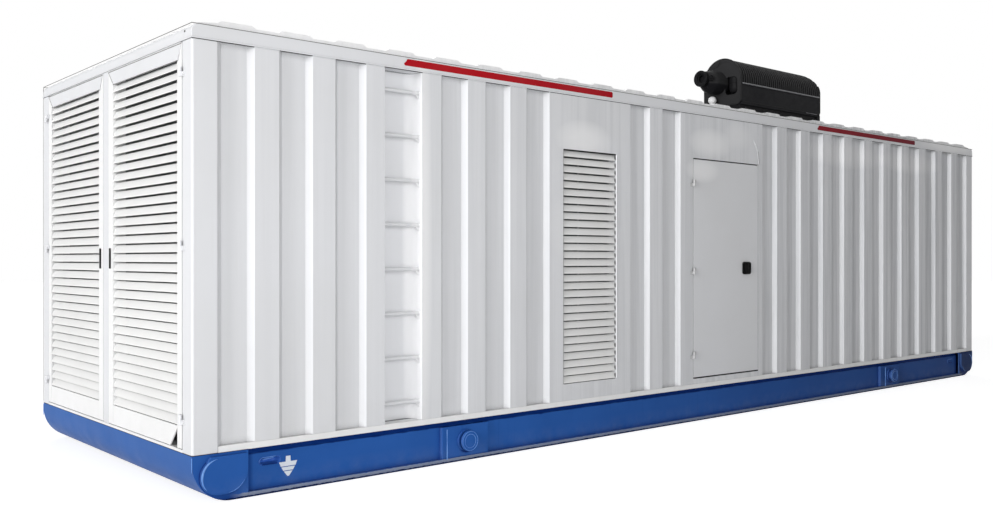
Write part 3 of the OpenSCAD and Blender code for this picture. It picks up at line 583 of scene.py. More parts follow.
def add_sweep(bm, path, profile, up=UP):
    """Sweeps a closed (side, up) profile along a path. The side direction is path x up."""
    path = [Vector(point) for point in path]
    last = len(path) - 1
    rings = []
    for i, point in enumerate(path):
        side = (path[min(i + 1, last)] - path[max(i - 1, 0)]).cross(up).normalized()
        rings.append([bm.verts.new(point + side * s + up * u) for s, u in profile])
    join_rings(bm, rings)
    bm.faces.new(rings[0])
    bm.faces.new(rings[-1][::-1])


def add_rod(bm, path, radius, sides=8):
    """A round rod along a path."""
    path = [Vector(point) for point in path]
    for a, b in zip(path, path[1:]):
        length = (b - a).length
        add_lathe(bm, a, b - a, [(0, 0), (radius, 0), (radius, length), (0, length)], sides)


def add_plate(bm, outline, origin, out):
    """An upright plate whose outline is in (x, z) from the origin, and which stands out along y."""
    back = [bm.verts.new(Vector(origin) + Vector((x, 0, z))) for x, z in outline]
    face = [bm.verts.new(vert.co + ACROSS * out) for vert in back]
    bm.faces.new(face)
    bm.faces.new(back[::-1])
    join_rings(bm, [back, face])


def add_crescent(bm, centre, radius, start, end, width, side):
    """A flat sickle about a centre on an upright face, thickest half way between its ends."""
    steps = 24
    rows = []
    for i in range(steps + 1):
        a = math.radians(start + (end - start) * i / steps)
        half = 0.5 * width * math.sin(math.pi * i / steps) + 0.0004
        rows.append([
            bm.verts.new(Vector(centre) + Vector((r * math.cos(a), side * out, r * math.sin(a))))
            for r, out in ((radius - half, 0.0), (radius - half * 0.5, 0.0010),
                           (radius + half * 0.5, 0.0010), (radius + half, 0.0))
        ])
    join_rings(bm, rows, closed=False)


def add_screw(bm, origin, axis, radius):
    """A pan head screw."""
    rise = radius * 0.7
    dome = [(radius, 0), (radius, rise * 0.4), (radius * 0.8, rise * 0.85), (radius * 0.4, rise), (0, rise)]
    add_lathe(bm, origin, axis, dome, 12)


def add_bolt(bm, origin, axis, radius):
    """A hexagon head on a washer."""
    washer, rise = radius * 1.35, radius * 0.25
    rim = [(washer, 0), (washer, radius * 0.18), (washer * 0.95, rise), (0, rise)]
    head = [(radius, 0), (radius, radius * 0.6), (radius * 0.88, radius * 0.75), (0, radius * 0.75)]
    add_lathe(bm, origin, axis, rim, 20)
    add_lathe(bm, Vector(origin) + Vector(axis) * rise, axis, head, 6)


def islands(name):
    """Box of each loose part of a CAD node, as (lowest corner, highest corner), sorted by place."""
    bm = bmesh.new()
    bm.from_mesh(NODES[name].data)
    bmesh.ops.remove_doubles(bm, verts=bm.verts, dist=0.00002)
    seen, found = set(), []
    for start in bm.verts:
        if start in seen:
            continue
        stack, points = [start], []
        seen.add(start)
        while stack:
            vert = stack.pop()
            points.append(vert.co.copy())
            for link in vert.link_edges:
                other = link.other_vert(vert)
                if other not in seen:
                    seen.add(other)
                    stack.append(other)
        lo = Vector([min(p[i] for p in points) for i in range(3)])
        hi = Vector([max(p[i] for p in points) for i in range(3)])
        found.append((lo, hi))
    bm.free()
    return sorted(found, key=lambda b: (round(b[0].x, 2), round(b[0].y, 2), b[0].z))


def fold_line(name, side):
    """Outer edge of a corrugated sheet in plan, as (x, y) points along x, for each sheet of the node."""
    lines = []
    for lo, hi in islands(name):
        spots = [vert.co for vert in NODES[name].data.vertices if side * vert.co.y > FACE_Y - 0.05]
        foot = [p for p in spots if lo.x - 0.001 < p.x < hi.x + 0.001 and abs(p.z - lo.z) < 0.001]
        lines.append(sorted({(round(p.x, 4), round(p.y, 4)) for p in foot}))
    return lines


# ---------------------------------------------------------------- enclosure details
def rounded_bar(x0, x1, z0, z1, radius, slant=0.0):
    """Outline of a bar with round corners, its left end leaning out at the bottom."""
    corners = [(x1 - radius, z0 + radius, -90), (x1 - radius, z1 - radius, 0)]
    corners += [(x0 + slant + radius, z1 - radius, 90), (x0 + radius, z0 + radius, 180)]
    outline = []
    for cx, cz, start in corners:
        for i in range(7):
            a = math.radians(start + 15 * i)
            outline.append((cx + radius * math.cos(a), cz + radius * math.sin(a)))
    return outline


def rail_stripes():
    """Painted stripes on the face of both top rails."""
    bm = bmesh.new()
    for x0, x1 in ((-3.700, -1.559), (1.594, 3.712)):
        outline = rounded_bar(x0, x1, RAIL_TOP - 0.059, RAIL_TOP - 0.011, 0.014, 0.022)
        for side in (FRONT, REAR):
            add_plate(bm, outline, (0, side * FACE_Y, 0), side * 0.0012)
    piece("rail_stripes", bm, "red", sharp=60)


def run_round(bm, z, profile, ends=True):
    """Sweeps a profile along both sides, and along both ends if asked, at a height."""
    plan = [(-END_X, -FACE_Y, z), (END_X, -FACE_Y, z), (END_X, FACE_Y, z), (-END_X, FACE_Y, z)]
    for i in range(0, 4, 1 if ends else 2):
        add_sweep(bm, [plan[i], plan[(i + 1) % 4]], profile)


def rail_lips():
    """Drip lip along the lower edge of the top rails, over a bead of sealant."""
    lip = [(-0.002, 0.001), (0.004, 0.001), (0.0055, 0.003), (0.0055, 0.007), (0.004, 0.009), (-0.002, 0.010)]
    bm = bmesh.new()
    run_round(bm, WALL_TOP, lip)
    piece("rail_drip_lips", bm, "paint")
    bead = [(-0.002, -0.003), (0.0008, -0.0025), (0.0016, -0.001), (0.0016, 0.001), (-0.002, 0.001)]
    bm = bmesh.new()
    run_round(bm, WALL_TOP, bead, ends=False)
    piece("rail_sealant", bm, "rubber")


def roof_edge_bead():
    """Dark sealant bead along the top edges of the rails, which also stands in for the shade at the roof
    sheet's edge, and dark strips down the outer edges of the rear posts as painted shade of the rear sheets
    seen edge-on.
    """
    bm = bmesh.new()
    bead = [(-0.005, -0.001), (0.0008, -0.001), (0.0008, 0.0022), (-0.005, 0.0022)]
    run_round(bm, RAIL_TOP, bead, ends=False)
    top = RAIL_TOP - 0.0005
    for x in (-END_X, END_X):
        inner = x - math.copysign(0.001, x)
        bend = [(inner, FACE_Y - 0.001, WALL_TOP + 0.004), (inner, FACE_Y - 0.001, RAIL_TOP - 0.024)]
        bend += [(inner, FACE_Y - 0.008, RAIL_TOP - 0.008), (inner, FACE_Y - 0.024, top)]
        add_rod(bm, [*bend, (inner, -FACE_Y + 0.002, top)], 0.0022)
        lo = (x - 0.0008, FACE_Y - 0.003, BASE_TOP + 0.01)
        add_box(bm, lo, (x + 0.0008, FACE_Y + 0.0012, WALL_TOP), 0.0004)
    piece("roof_edge_sealant_and_shade", bm, "bead")


def post_seams():
    """Sealant in the upright corners between the posts and the sheets, its dark grey also painted shade of
    these corners.
    """
    bm = bmesh.new()
    for lo, hi in islands("corner_posts"):
        inner, away = (hi.x, 1) if hi.x < 0 else (lo.x, -1)
        side = FRONT if lo.y < 0 else REAR
        y0, y1 = side * (FACE_Y - 0.004), side * (FACE_Y - 0.022)
        add_box(bm, (inner - away * 0.001, y0, SHEET_Z0), (inner + away * 0.004, y1, SHEET_Z1), 0.0012)
    piece("post_seam_sealant_and_shade", bm, "bead")


def end_hood(name, body, near, far):
    """Folded hood over the blades of a left door, narrower below by near and far, with a bead."""
    lo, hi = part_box(name)
    top = [Vector((-END_X - 0.0015, y, hi.z - 0.006)) for y in (lo.y + 0.008, hi.y - 0.008)]
    low = [Vector((-END_X - 0.0075, y, hi.z - 0.104)) for y in (lo.y + near, hi.y - far)]
    bm = bmesh.new()
    outer = [bm.verts.new(point) for point in (top[0], top[1], low[1], low[0])]
    inner = [bm.verts.new((-END_X + 0.001, vert.co.y, vert.co.z)) for vert in outer]
    bm.faces.new(outer)
    bm.faces.new(inner[::-1])
    join_rings(bm, [outer, inner])
    piece(f"{name}_hood", bm, "paint", body, sharp=20)
    bm = bmesh.new()
    add_rod(bm, top, 0.0022)
    add_rod(bm, [top[1], low[1]], 0.0018)
    add_rod(bm, low, 0.0016)
    piece(f"{name}_hood_bead", bm, "bead", body)


def end_gap_fill():
    """White packing under the left top rail, over the doors, and a dark disc on the rail as a small drain
    hole, painted shade in place of its opening.
    """
    half_y = FACE_Y - 0.17
    bm = bmesh.new()
    add_box(bm, (-END_X + 0.001, -half_y, WALL_TOP - 0.0035), (-END_X + 0.030, half_y, WALL_TOP + 0.002))
    piece("end_gap_packing", bm, "fitting_paint")
    # A dark disc in place of the drain hole: painted shade of its opening
    bm = bmesh.new()
    hole = (-END_X, -FACE_Y + 0.100, RAIL_TOP - 0.036)
    add_lathe(bm, hole, (-1, 0, 0), [(0.007, -0.001), (0.007, 0.0006), (0, 0.0006)], 16)
    piece("rail_drain_hole_shade", bm, "rubber")


def creases():
    """Pressed crease that runs up from the corner of the side door's head, with a dark line beside it as
    painted shade of the crease.
    """
    spots = [(0.500, 2.392), (0.528, 2.402), (0.538, 2.430), (0.532, 2.480), (0.520, 2.535)]
    crease_shade_line = [(x + 0.009, -FACE_Y - 0.0002, z + 0.002) for x, z in spots]
    spots += [(0.490, 2.590), (0.452, 2.645)]
    bm = bmesh.new()
    add_rod(bm, [(x, -FACE_Y - 0.0002, z) for x, z in spots], 0.0035)
    piece("door_corner_crease", bm, "paint")
    # Painted shade: a dark line on the crease's right side
    bm = bmesh.new()
    add_rod(bm, crease_shade_line, 0.0018)
    piece("door_corner_crease_shade", bm, "bead")


def louvre_reveal_shade(bm, name, side):
    """Dark strips of painted shade in the reveal along the top and left of a side louvre, and dark notches of
    painted shade at its blade ends.
    """
    lo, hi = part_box(name)
    left, right, inward = (lo.x, hi.x, 1) if side == FRONT else (hi.x, lo.x, -1)
    face, back = side * (FACE_Y - 0.0015), side * (FACE_Y - 0.012)
    top = hi.z + 0.004
    add_box(bm, (left, face, top - 0.010), (right, back, top + 0.004))
    add_box(bm, (left - inward * 0.001, face, lo.z), (left + inward * 0.003, back, top), 0.0008)
    notch = right - inward * 0.010
    y0, y1 = side * (FACE_Y - 0.003), side * (FACE_Y - 0.010)
    for z0 in [low.z + 0.006 for low, _ in islands(name)]:
        add_box(bm, (notch, y0, z0), (notch + inward * 0.004, y1, z0 + 0.034))


def louvre_trim():
    """Painted shade in the reveals of both side louvres, and the rolled bead on their right jambs."""
    reveals, beads = bmesh.new(), bmesh.new()
    for name, side in (("front_louvre_blades", FRONT), ("rear_louvre_blades", REAR)):
        louvre_reveal_shade(reveals, name, side)
        lo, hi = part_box(name)
        x = hi.x + 0.006 if side == FRONT else lo.x - 0.006
        y = side * (FACE_Y - 0.001)
        add_rod(beads, [(x, y, lo.z), (x, y, hi.z)], 0.0065, 14)
    piece("louvre_reveal_shade", reveals, "rubber")
    piece("louvre_jamb_beads", beads, "fitting_paint")


def block_edges(light, dark, side, end):
    """Painted highlight and painted shadow arcs on the pad and the corners of an end block, and a painted
    highlight down its outer corner.
    """
    def turned(angle):
        return angle if end < 0 else 180 - angle

    pad_y, face_y = side * (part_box("base_ends")[1].y + 0.0003), side * FACE_Y
    outer_x, outer_z = end * (END_X - 0.163), 0.160
    add_crescent(light, (outer_x, pad_y, outer_z), 0.108, turned(95), turned(225), 0.0125, side)
    add_crescent(dark, (outer_x, face_y, outer_z), 0.117, turned(110), turned(225), 0.0060, side)
    inner_x, inner_z = end * (BLOCK_X + 0.153), 0.187
    add_crescent(dark, (inner_x, face_y, inner_z), 0.146, turned(-88), turned(-20), 0.0120, side)
    add_crescent(light, (inner_x, pad_y, inner_z), 0.132, turned(-85), turned(-30), 0.0030, side)
    add_rod(light, [(end * END_X, face_y, 0.200), (end * END_X, face_y, BASE_TOP - 0.012)], 0.0022)


def slot_edges(light, dark, side, end):
    """Painted shadow on the lower edge, painted highlight on the rim, and a painted glint inside the slot in a
    web.
    """
    x, y = end * SLOT_X, side * (WEB_Y + 0.001)
    add_rod(dark, [(x - 0.052, y, SLOT_Z - 0.0225), (x + 0.052, y, SLOT_Z - 0.0225)], 0.0042)
    rim = [(-0.072, -0.006), (-0.075, 0.002), (-0.068, 0.014), (-0.052, 0.0225), (0.040, 0.0235)]
    add_rod(light, [(x + along, y, SLOT_Z + up) for along, up in rim], 0.0018)
    deep = side * (WEB_Y - 0.040)
    add_rod(light, [(x - 0.030, deep, SLOT_Z + 0.002), (x + 0.045, deep, SLOT_Z + 0.008)], 0.0050)


def lug_edges(light, dark):
    """Painted highlights on the left edges of the lifting plates and in rings on the bollards, and painted
    shadow beneath the bollards.
    """
    plates = islands("lifting_lugs")
    for lo, hi in plates:
        side = FRONT if lo.y < 0 else REAR
        if hi.x - lo.x > 0.20:
            x = lo.x if side == FRONT else hi.x
            y = side * max(abs(lo.y), abs(hi.y))
            add_rod(light, [(x, y, 0.040), (x, y, WEB_TOP - 0.006)], 0.0026)
    cap_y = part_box("lifting_lugs")[1].y
    for x in sorted({round((lo.x + hi.x) / 2, 3) for lo, hi in plates}):
        for side in (FRONT, REAR):
            for r in (0.070, 0.050):
                ring = [(r - 0.002, -0.001), (r - 0.001, 0.0012), (r + 0.001, 0.0012), (r + 0.002, -0.001)]
                add_lathe(light, (x, side * cap_y, BOLLARD_Z), (0, side, 0), ring, 44)
            add_crescent(dark, (x, side * (FACE_Y - 0.0005), BOLLARD_Z), 0.084, -130, 20, 0.016, side)


def skid_highlights():
    """Painted highlights and painted shadows on the edges of the skid's pads, plates, slots and bollards."""
    light, dark = bmesh.new(), bmesh.new()
    for side in (FRONT, REAR):
        for end in (-1, 1):
            block_edges(light, dark, side, end)
            slot_edges(light, dark, side, end)
    lug_edges(light, dark)
    piece("skid_painted_highlights", light, "blue_highlight", sharp=60)
    piece("skid_painted_shadows", dark, "blue_shade", sharp=60)


def base_seam():
    """Sealant between the skid's end blocks and the posts."""
    bm = bmesh.new()
    bead = [(-0.002, -0.0022), (0.0008, -0.0015), (0.0008, 0.0015), (-0.002, 0.0022)]
    for lo, hi in islands("base_ends"):
        outer, inner, flip = (lo.x, hi.x, 1) if abs(lo.x) > abs(hi.x) else (hi.x, lo.x, -1)
        plan = [(inner, FACE_Y), (outer, FACE_Y), (outer, -FACE_Y), (inner, -FACE_Y)]
        for run in (plan[2:], plan[:2], plan[1:3]):
            add_sweep(bm, [(*spot, BASE_TOP) for spot in run[::flip]], bead)
    piece("base_seam_sealant", bm, "rubber")


def folded_path(line, z, step):
    """Points about a step apart along the folded edge of a sheet."""
    path = []
    for (xa, ya), (xb, yb) in zip(line, line[1:]):
        parts = max(1, round(math.hypot(xb - xa, yb - ya) / step))
        path += [Vector((xa + (xb - xa) * i / parts, ya + (yb - ya) * i / parts, z)) for i in range(parts)]
    return [*path, Vector((*line[-1], z))]


def weld_beads():
    """Rippled fillet welds where the corrugated sheets meet the top rails."""
    bm = bmesh.new()
    section = ((0, -1.2), (0.75, -0.75), (1.1, 0), (-0.4, 0.4))
    fronts = [f"front_wall_{part}" for part in ("left", "middle", "by_door", "right")]
    for name in (*fronts, "rear_walls"):
        side = FRONT if name in fronts else REAR
        for line in fold_line(name, side):
            rings = []
            for i, point in enumerate(folded_path(line, SHEET_Z1, 0.012)):
                r = 0.0035 * (1.0 + 0.18 * (i % 2) + DRAW.uniform(-0.1, 0.1))
                rings.append([bm.verts.new(point + Vector((0, side * r * a, r * b))) for a, b in section])
            join_rings(bm, rings)
    piece("sheet_weld_beads", bm, "paint", sharp=80)


def earth_marks():
    """A plain protective earth mark on each side channel, as a stem over three shrinking bars."""
    bm = bmesh.new()
    rows = [(0.036, 0.0160, 0.0180), (0.029, 0.0650, 0.0530), (0.023, 0.0490, 0.0350), (0.032, 0.0310, 0.0060)]
    for side in (FRONT, REAR):
        z = 0.214
        for i, (height, upper, lower) in enumerate(rows):
            outline = [(-lower, -height), (lower, -height), (upper, 0), (-upper, 0)]
            add_plate(bm, outline, (side * (END_X - 0.665), side * (WEB_Y - 0.0002), z), side * 0.0011)
            z -= height + (0.005 if i else 0.0)
    piece("earth_marks", bm, "mark")


def slot_cups():
    """A pressed cup with a rolled rim behind the slot in each side channel."""
    half_l, half_h, sides = 0.073, 0.0205, 36
    rings = [(1.0, 0.007, -0.0010), (1.0, 0.006, 0.0014), (1.0, 0.001, 0.0018), (1.0, -0.001, 0.0005)]
    rings += [(1.0, -0.003, -0.010), (0.93, -0.005, -0.028), (0.74, -0.007, -0.041), (0.30, -0.012, -0.046)]
    angles = [2 * math.pi * i / sides for i in range(sides)]
    bm = bmesh.new()
    for centre_x, side in ((end * SLOT_X, side) for side in (FRONT, REAR) for end in (-1, 1)):
        loops = []
        for stretch, grow, out in rings:
            r, run = half_h + grow, (half_l - half_h) * stretch
            outline = [(r * math.cos(a) + math.copysign(run, math.cos(a)), r * math.sin(a)) for a in angles]
            loops.append([bm.verts.new((centre_x + x, side * (WEB_Y + out), SLOT_Z + z)) for x, z in outline])
        join_rings(bm, loops)
        bm.faces.new(loops[-1])
    piece("slot_cups", bm, "blue_cup", sharp=50)


def ladder_details():
    """Brackets and welds that hold the rungs in the recess."""
    lo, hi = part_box("ladder_rungs")
    brackets, beads = bmesh.new(), bmesh.new()
    outline = [(0, 0), (-0.034, 0), (-0.030, -0.008), (-0.006, -0.034), (0, -0.034)]
    for a, b in islands("ladder_rungs"):
        y, z, r = (a.y + b.y) / 2, (a.z + b.z) / 2, (b.z - a.z) / 2
        add_plate(brackets, outline, (hi.x, y - 0.003, z - r * 0.7), 0.006)
        ring = [(r, 0.0), (r + 0.005, 0.0), (r + 0.004, 0.003), (r + 0.001, 0.006), (r, 0.007)]
        add_lathe(beads, (lo.x, y, z), (1, 0, 0), ring, 20)
        add_lathe(beads, (hi.x, y, z), (-1, 0, 0), ring, 20)
    piece("rung_brackets", brackets, "paint")
    piece("rung_welds", beads, "paint", sharp=80)


def gap_seals():
    """Rubber in the gaps around the side doors, and dark lips above and below their leaves."""
    bm = bmesh.new()
    gap, thick = 0.005, 0.003
    for name, side in (("front_door", FRONT), ("rear_door", REAR)):
        lo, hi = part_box(name)
        y0, y1 = side * (FACE_Y - 0.006), side * (FACE_Y - 0.020)
        x0, x1, z0, z1 = lo.x - gap, hi.x + gap, lo.z - gap, hi.z + gap
        add_box(bm, (x0, y0, z0), (x0 + thick, y1, z1))
        add_box(bm, (x1 - thick, y0, z0), (x1, y1, z1))
        add_box(bm, (x0, y0, z0), (x1, y1, z0 + thick))
        add_box(bm, (x0, side * (FACE_Y - 0.001), z1 - thick), (x1, y1, z1))
        lip_x0, lip_x1, face = lo.x - 0.002, hi.x + 0.004, side * (FACE_Y + 0.0015)
        add_box(bm, (lip_x0, face, hi.z + 0.0012), (lip_x1, y1, hi.z + 0.0105))
        add_box(bm, (lip_x0, face, lo.z - 0.0125), (lip_x1, y1, lo.z - 0.0012))
    piece("door_seals", bm, "rubber")


def plate_screws(bm, name, faces_end, outer_edge, upper):
    """Two screws on each hinge plate of a node, by its outer or inner edge, and high or low on it."""
    inset, rise, step = 0.010, 0.008, 0.0135
    for lo, hi in islands(name):
        if faces_end:
            edge = (max if outer_edge else min)(lo.y, hi.y, key=abs)
            y = edge + math.copysign(inset, -edge if outer_edge else edge)
            x, axis = -END_X - 0.004, (-1, 0, 0)
        else:
            x = hi.x - inset if outer_edge else lo.x + inset
            y, axis = -FACE_Y - 0.004, (0, -1, 0)
        for k in (0, 1):
            z = hi.z - rise - step * k if upper else lo.z + rise + step * k
            add_screw(bm, (x, y, z), axis, 0.0035)


def hinge_screws():
    """Screws on the hinge plates, each on the body of its plate."""
    groups = {
        "enclosure": [("door_hinge_pins", False, False, False), ("left_hinge_pins", True, True, False)],
        "front_door_leaf": [("door_hinge_knuckles", False, True, True)],
        "near_end_leaf": [("near_end_knuckles", True, False, True)],
        "far_end_leaf": [("far_end_knuckles", True, False, True)],
    }
    for body, rows in groups.items():
        bm = bmesh.new()
        for row in rows:
            plate_screws(bm, *row)
        piece(f"hinge_screws_{body}", bm, "hinge_paint", body)


def latch_details(name, side, body):
    """Raised rim, paddle, lock plate, key barrel and screws of a side door latch."""
    lo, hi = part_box(name)
    centre, size, out = (lo + hi) / 2, hi - lo, ACROSS * side
    face = side * (max(abs(lo.y), abs(hi.y)) - 0.008)
    rim_y, edge, third = face + side * 0.003, 0.016, size.z * 0.33
    bm = bmesh.new()
    for z in (hi.z - 0.011, lo.z + 0.005):
        add_box(bm, (lo.x + edge, face, z), (hi.x - edge, rim_y, z + 0.006), 0.0014)
    for x in (lo.x + 0.005, hi.x - 0.011):
        add_box(bm, (x, face, lo.z + edge), (x + 0.006, rim_y, hi.z - edge), 0.0014)
    low = centre.z - third
    paddle_top = (centre.x - edge, face + side * 0.004, centre.z + third)
    add_box(bm, (centre.x - size.x * 0.36, face, low), paddle_top, 0.002, 3)
    plate_top = (hi.x - edge, face + side * 0.006, centre.z - size.z * 0.02)
    add_box(bm, (centre.x + edge, face, low), plate_top, 0.002, 3)
    piece(f"{name}_paddle", bm, "moulded", body)
    spot, key = Vector((centre.x + size.x * 0.26, face, centre.z + size.z * 0.18)), Vector((0.001, 0, 0.006))
    barrel = [(0.012, 0), (0.012, 0.003), (0.010, 0.005), (0.0085, 0.005), (0.0085, 0.0035), (0, 0.0035)]
    bm = bmesh.new()
    add_lathe(bm, spot, out, barrel, 28)
    add_box(bm, spot - key, spot + out * 0.0045 + key, 0.0005)
    for dx in (0.020 - size.x / 2, size.x / 2 - 0.020):
        for dz in (0.016 - size.z / 2, size.z / 2 - 0.016):
            add_screw(bm, (centre.x + dx, face, centre.z + dz), out, 0.004)
    piece(f"{name}_lock", bm, "moulded", body)


def torn_corner():
    """The near leaf's apron lies open at its corner: a bent flap of its sheet shows inside."""
    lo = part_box("near_end_door")[0]
    corner = Vector((-END_X + 0.030, lo.y + 0.069, lo.z))
    bm = bmesh.new()
    rows = []
    for t in [i / 10 for i in range(11)]:
        curl, left = 0.030 * math.sin(t * 2.2), 1 - t
        row = [(0.004 + curl, 0.004 + 0.045 * t, 0.004)]
        row += [(0.016 + curl * 1.2, 0.004 + 0.043 * t, 0.030 + 0.040 * left)]
        row += [(0.034 + curl * 0.4, 0.006 + 0.030 * t, 0.050 + 0.050 * left)]
        rows.append([bm.verts.new(corner + Vector(place)) for place in row])
    join_rings(bm, rows, closed=False)
    bmesh.ops.solidify(bm, geom=bm.faces[:], thickness=0.0015)
    piece("bent_apron_flap", bm, "bright_paint", "near_end_leaf", sharp=70)


def lining_strips():
    """Cover strips over the joints of the acoustic lining, clear of the doorway, louvres and ladder."""
    bm = bmesh.new()
    low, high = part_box("floor_deck")[1].z + 0.002, WALL_TOP - 0.001
    for x in [-3.9 + 1.2 * i for i in range(8)]:
        for side in (FRONT, REAR):
            at_ladder = side == FRONT and -3.95 < x < -3.50
            if at_ladder or -2.2 < x < -1.4 or -0.6 < x < 0.7:
                continue
            y = side * (FACE_Y - 0.100)
            add_box(bm, (x - 0.02, y, low), (x + 0.02, y - side * 0.003, high), 0.0012)
    piece("lining_joint_strips", bm, "fitting_paint")


# ---------------------------------------------------------------- silencer details
def arc(centre_y, centre_z, radius, x, start, end, steps):
    """Points of an arc in a plane across the silencer, angles from its far side upwards."""
    angles = [math.radians(start + (end - start) * i / steps) for i in range(steps + 1)]
    return [Vector((x, centre_y + radius * math.cos(a), centre_z + radius * math.sin(a))) for a in angles]


def silencer_rim(bm):
    """Rolled rim round the near end plate, and a second one inside it over the top."""
    for radius, lift in ((PLATE_R - 0.006, 0.001), (PLATE_R - 0.034, 0.0)):
        add_rod(bm, arc(PLATE_Y, PLATE_AXIS_Z, radius, PLATE_LO.x - lift, 0, 180, 40), 0.0042)
    x = PLATE_LO.x - 0.001
    for y in (PLATE_Y - PLATE_R + 0.006, PLATE_Y + PLATE_R - 0.006):
        add_rod(bm, [(x, y, PLATE_AXIS_Z), (x, y, PLATE_LO.z + 0.06)], 0.0042)


def silencer_shell():
    """Rim and seams of the casing, painted highlight lines on its front, and the skirt below its end."""
    lo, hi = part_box("silencer_body")
    near_x, far_x = PLATE_LO.x, PLATE_HI.x
    bm = bmesh.new()
    silencer_rim(bm)
    lip = [(0.0, -0.010), (0.005, -0.008), (0.006, 0.004), (0.002, 0.008), (-0.004, 0.008)]
    foot = [(0.0, -0.004), (0.003, -0.003), (0.003, 0.003), (0.0, 0.004)]
    for z, profile in ((LEDGE_Z, lip), (PLATE_LO.z + 0.030, foot)):
        add_sweep(bm, [(near_x + 0.018, lo.y, z), (far_x - 0.018, lo.y, z)], profile)
        add_sweep(bm, [(far_x - 0.018, hi.y, z), (near_x + 0.018, hi.y, z)], profile)
    piece("silencer_seams", bm, "black_plate", sharp=50)
    # Painted highlights along the ledge and near the far foot
    bm = bmesh.new()
    y, foot_z = lo.y - 0.005, PLATE_LO.z + 0.022
    add_rod(bm, [(near_x + 0.030, y, LEDGE_Z + 0.001), (far_x - 0.030, y, LEDGE_Z + 0.001)], 0.0085, 10)
    add_rod(bm, [(far_x - 0.300, y, foot_z), (far_x - 0.080, y, foot_z)], 0.0030)
    piece("silencer_casing_highlights", bm, "worn_edge")
    bm = bmesh.new()
    cradle_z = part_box("silencer_cradle")[0].z + 0.004
    add_box(bm, (far_x - 0.060, lo.y, cradle_z), (far_x - 0.002, hi.y, PLATE_LO.z + 0.020), 0.003)
    piece("silencer_end_skirt", bm, "casing")


def silencer_face():
    """Pressed cover of the near end plate, with its round-cornered opening beside the outlet."""
    x, half, corner, foot_z = PLATE_LO.x - 0.002, PLATE_R - 0.011, 0.050, PLATE_LO.z + 0.011
    outline = arc(PLATE_Y, PLATE_AXIS_Z, half, x, 0, 180, 40)
    outline += arc(PLATE_Y - half + corner, foot_z + corner, corner, x, 180, 270, 8)
    outline += arc(PLATE_Y + half - corner, foot_z + corner, corner, x, 270, 360, 8)
    round_r = 0.045
    left, right = PLATE_LO.y + 0.200 - round_r, PLATE_LO.y + 0.046 + round_r
    low, high = foot_z + 0.095 + round_r, PLATE_AXIS_Z + 0.030 - round_r
    hole = []
    for y, z, start in ((left, high, 0), (right, high, 90), (right, low, 180), (left, low, 270)):
        hole += arc(y, z, round_r, x, start, start + 90, 8)
    bm = bmesh.new()
    edges = []
    for loop in (outline, hole):
        front = [bm.verts.new(point) for point in loop]
        back = [bm.verts.new(point + ALONG * 0.0035) for point in loop]
        edges += [bm.edges.new((front[i - 1], front[i])) for i in range(len(loop))]
        join_rings(bm, [front, back])
    bmesh.ops.triangle_fill(bm, edges=edges, use_beauty=True)
    piece("silencer_face_cover", bm, "black_plate", sharp=40)


def outlet_reducer():
    """Eccentric reducer between the outlet's flange and the casing, bulging below."""
    x, sides = FLANGE_HI.x, 56
    foot = PLATE_LO.x - x + 0.060
    rows = [(-0.001, 0.0, 0.070), (0.0, 0.0, 0.081), (0.010, -0.002, 0.087), (0.050, -0.010, 0.104)]
    rows += [(0.086, -0.016, 0.118), (0.100, -0.018, 0.121)]
    rows += [(foot, -0.018, 0.121), (foot + 0.001, -0.018, 0.100)]
    bm = bmesh.new()
    rings = []
    for along, drop, radius in rows:
        ring = arc(OUTLET_Y, OUTLET_Z + drop, radius, x + along, 0, 360, sides)[:sides]
        rings.append([bm.verts.new(point) for point in ring])
    join_rings(bm, rings)
    piece("outlet_reducer", bm, "casing", sharp=40)


def silencer_strap():
    """Lifting hole near the top of the near end plate, and the bent strap below it."""
    eye = Vector((PLATE_LO.x, PLATE_LO.y + 0.270, PLATE_HI.z - 0.043))
    rim = [(0.019, 0), (0.019, 0.004), (0.015, 0.006), (0.012, 0.004), (0.012, 0.0005), (0, 0.0005)]
    bend = [(-0.006, 0.004, 0.012), (-0.010, 0.016, -0.018), (-0.006, 0.040, -0.036), (-0.003, 0.085, -0.048)]
    strap = [(-0.006, -0.002), (0.006, -0.002), (0.006, 0.002), (-0.006, 0.002)]
    bm = bmesh.new()
    add_lathe(bm, eye, (-1, 0, 0), rim, 28)
    add_sweep(bm, [eye + Vector(place) for place in bend], strap, ALONG)
    piece("silencer_lifting_eye", bm, "black_plate", sharp=50)


def outlet_rings(bm):
    """Rim and liner of the outlet, the collar at its foot, and a capped test point on its side."""
    x = FLANGE_LO.x
    rim = [(0.060, 0), (0.062, 0.002), (0.070, 0.002), (0.072, 0)]
    add_lathe(bm, (x, OUTLET_Y, OUTLET_Z), (-1, 0, 0), rim, 48)
    liner = [(0.060, 0.0), (0.056, 0.003), (0.050, 0.006), (0.048, 0.020)]
    liner += [(0.044, 0.022), (0.040, 0.022), (0.038, 0.050)]
    add_lathe(bm, (x - 0.001, OUTLET_Y, OUTLET_Z), (1, 0, 0), liner, 48)
    collar = [(0.101, 0), (0.108, 0.002), (0.110, 0.006), (0.110, 0.014), (0.104, 0.018)]
    add_lathe(bm, (PLATE_LO.x - 0.014, OUTLET_Y, OUTLET_Z), (1, 0, 0), collar, 56)
    side = Vector((-0.55, -0.83, 0.08)).normalized()
    boss = [(0.034, 0), (0.034, 0.022), (0.031, 0.026), (0.024, 0.026), (0.022, 0.020), (0.012, 0.020)]
    boss += [(0.010, 0.026), (0, 0.027)]
    add_lathe(bm, Vector((FLANGE_HI.x + 0.062, OUTLET_Y, OUTLET_Z - 0.006)) + side * 0.094, side, boss, 32)


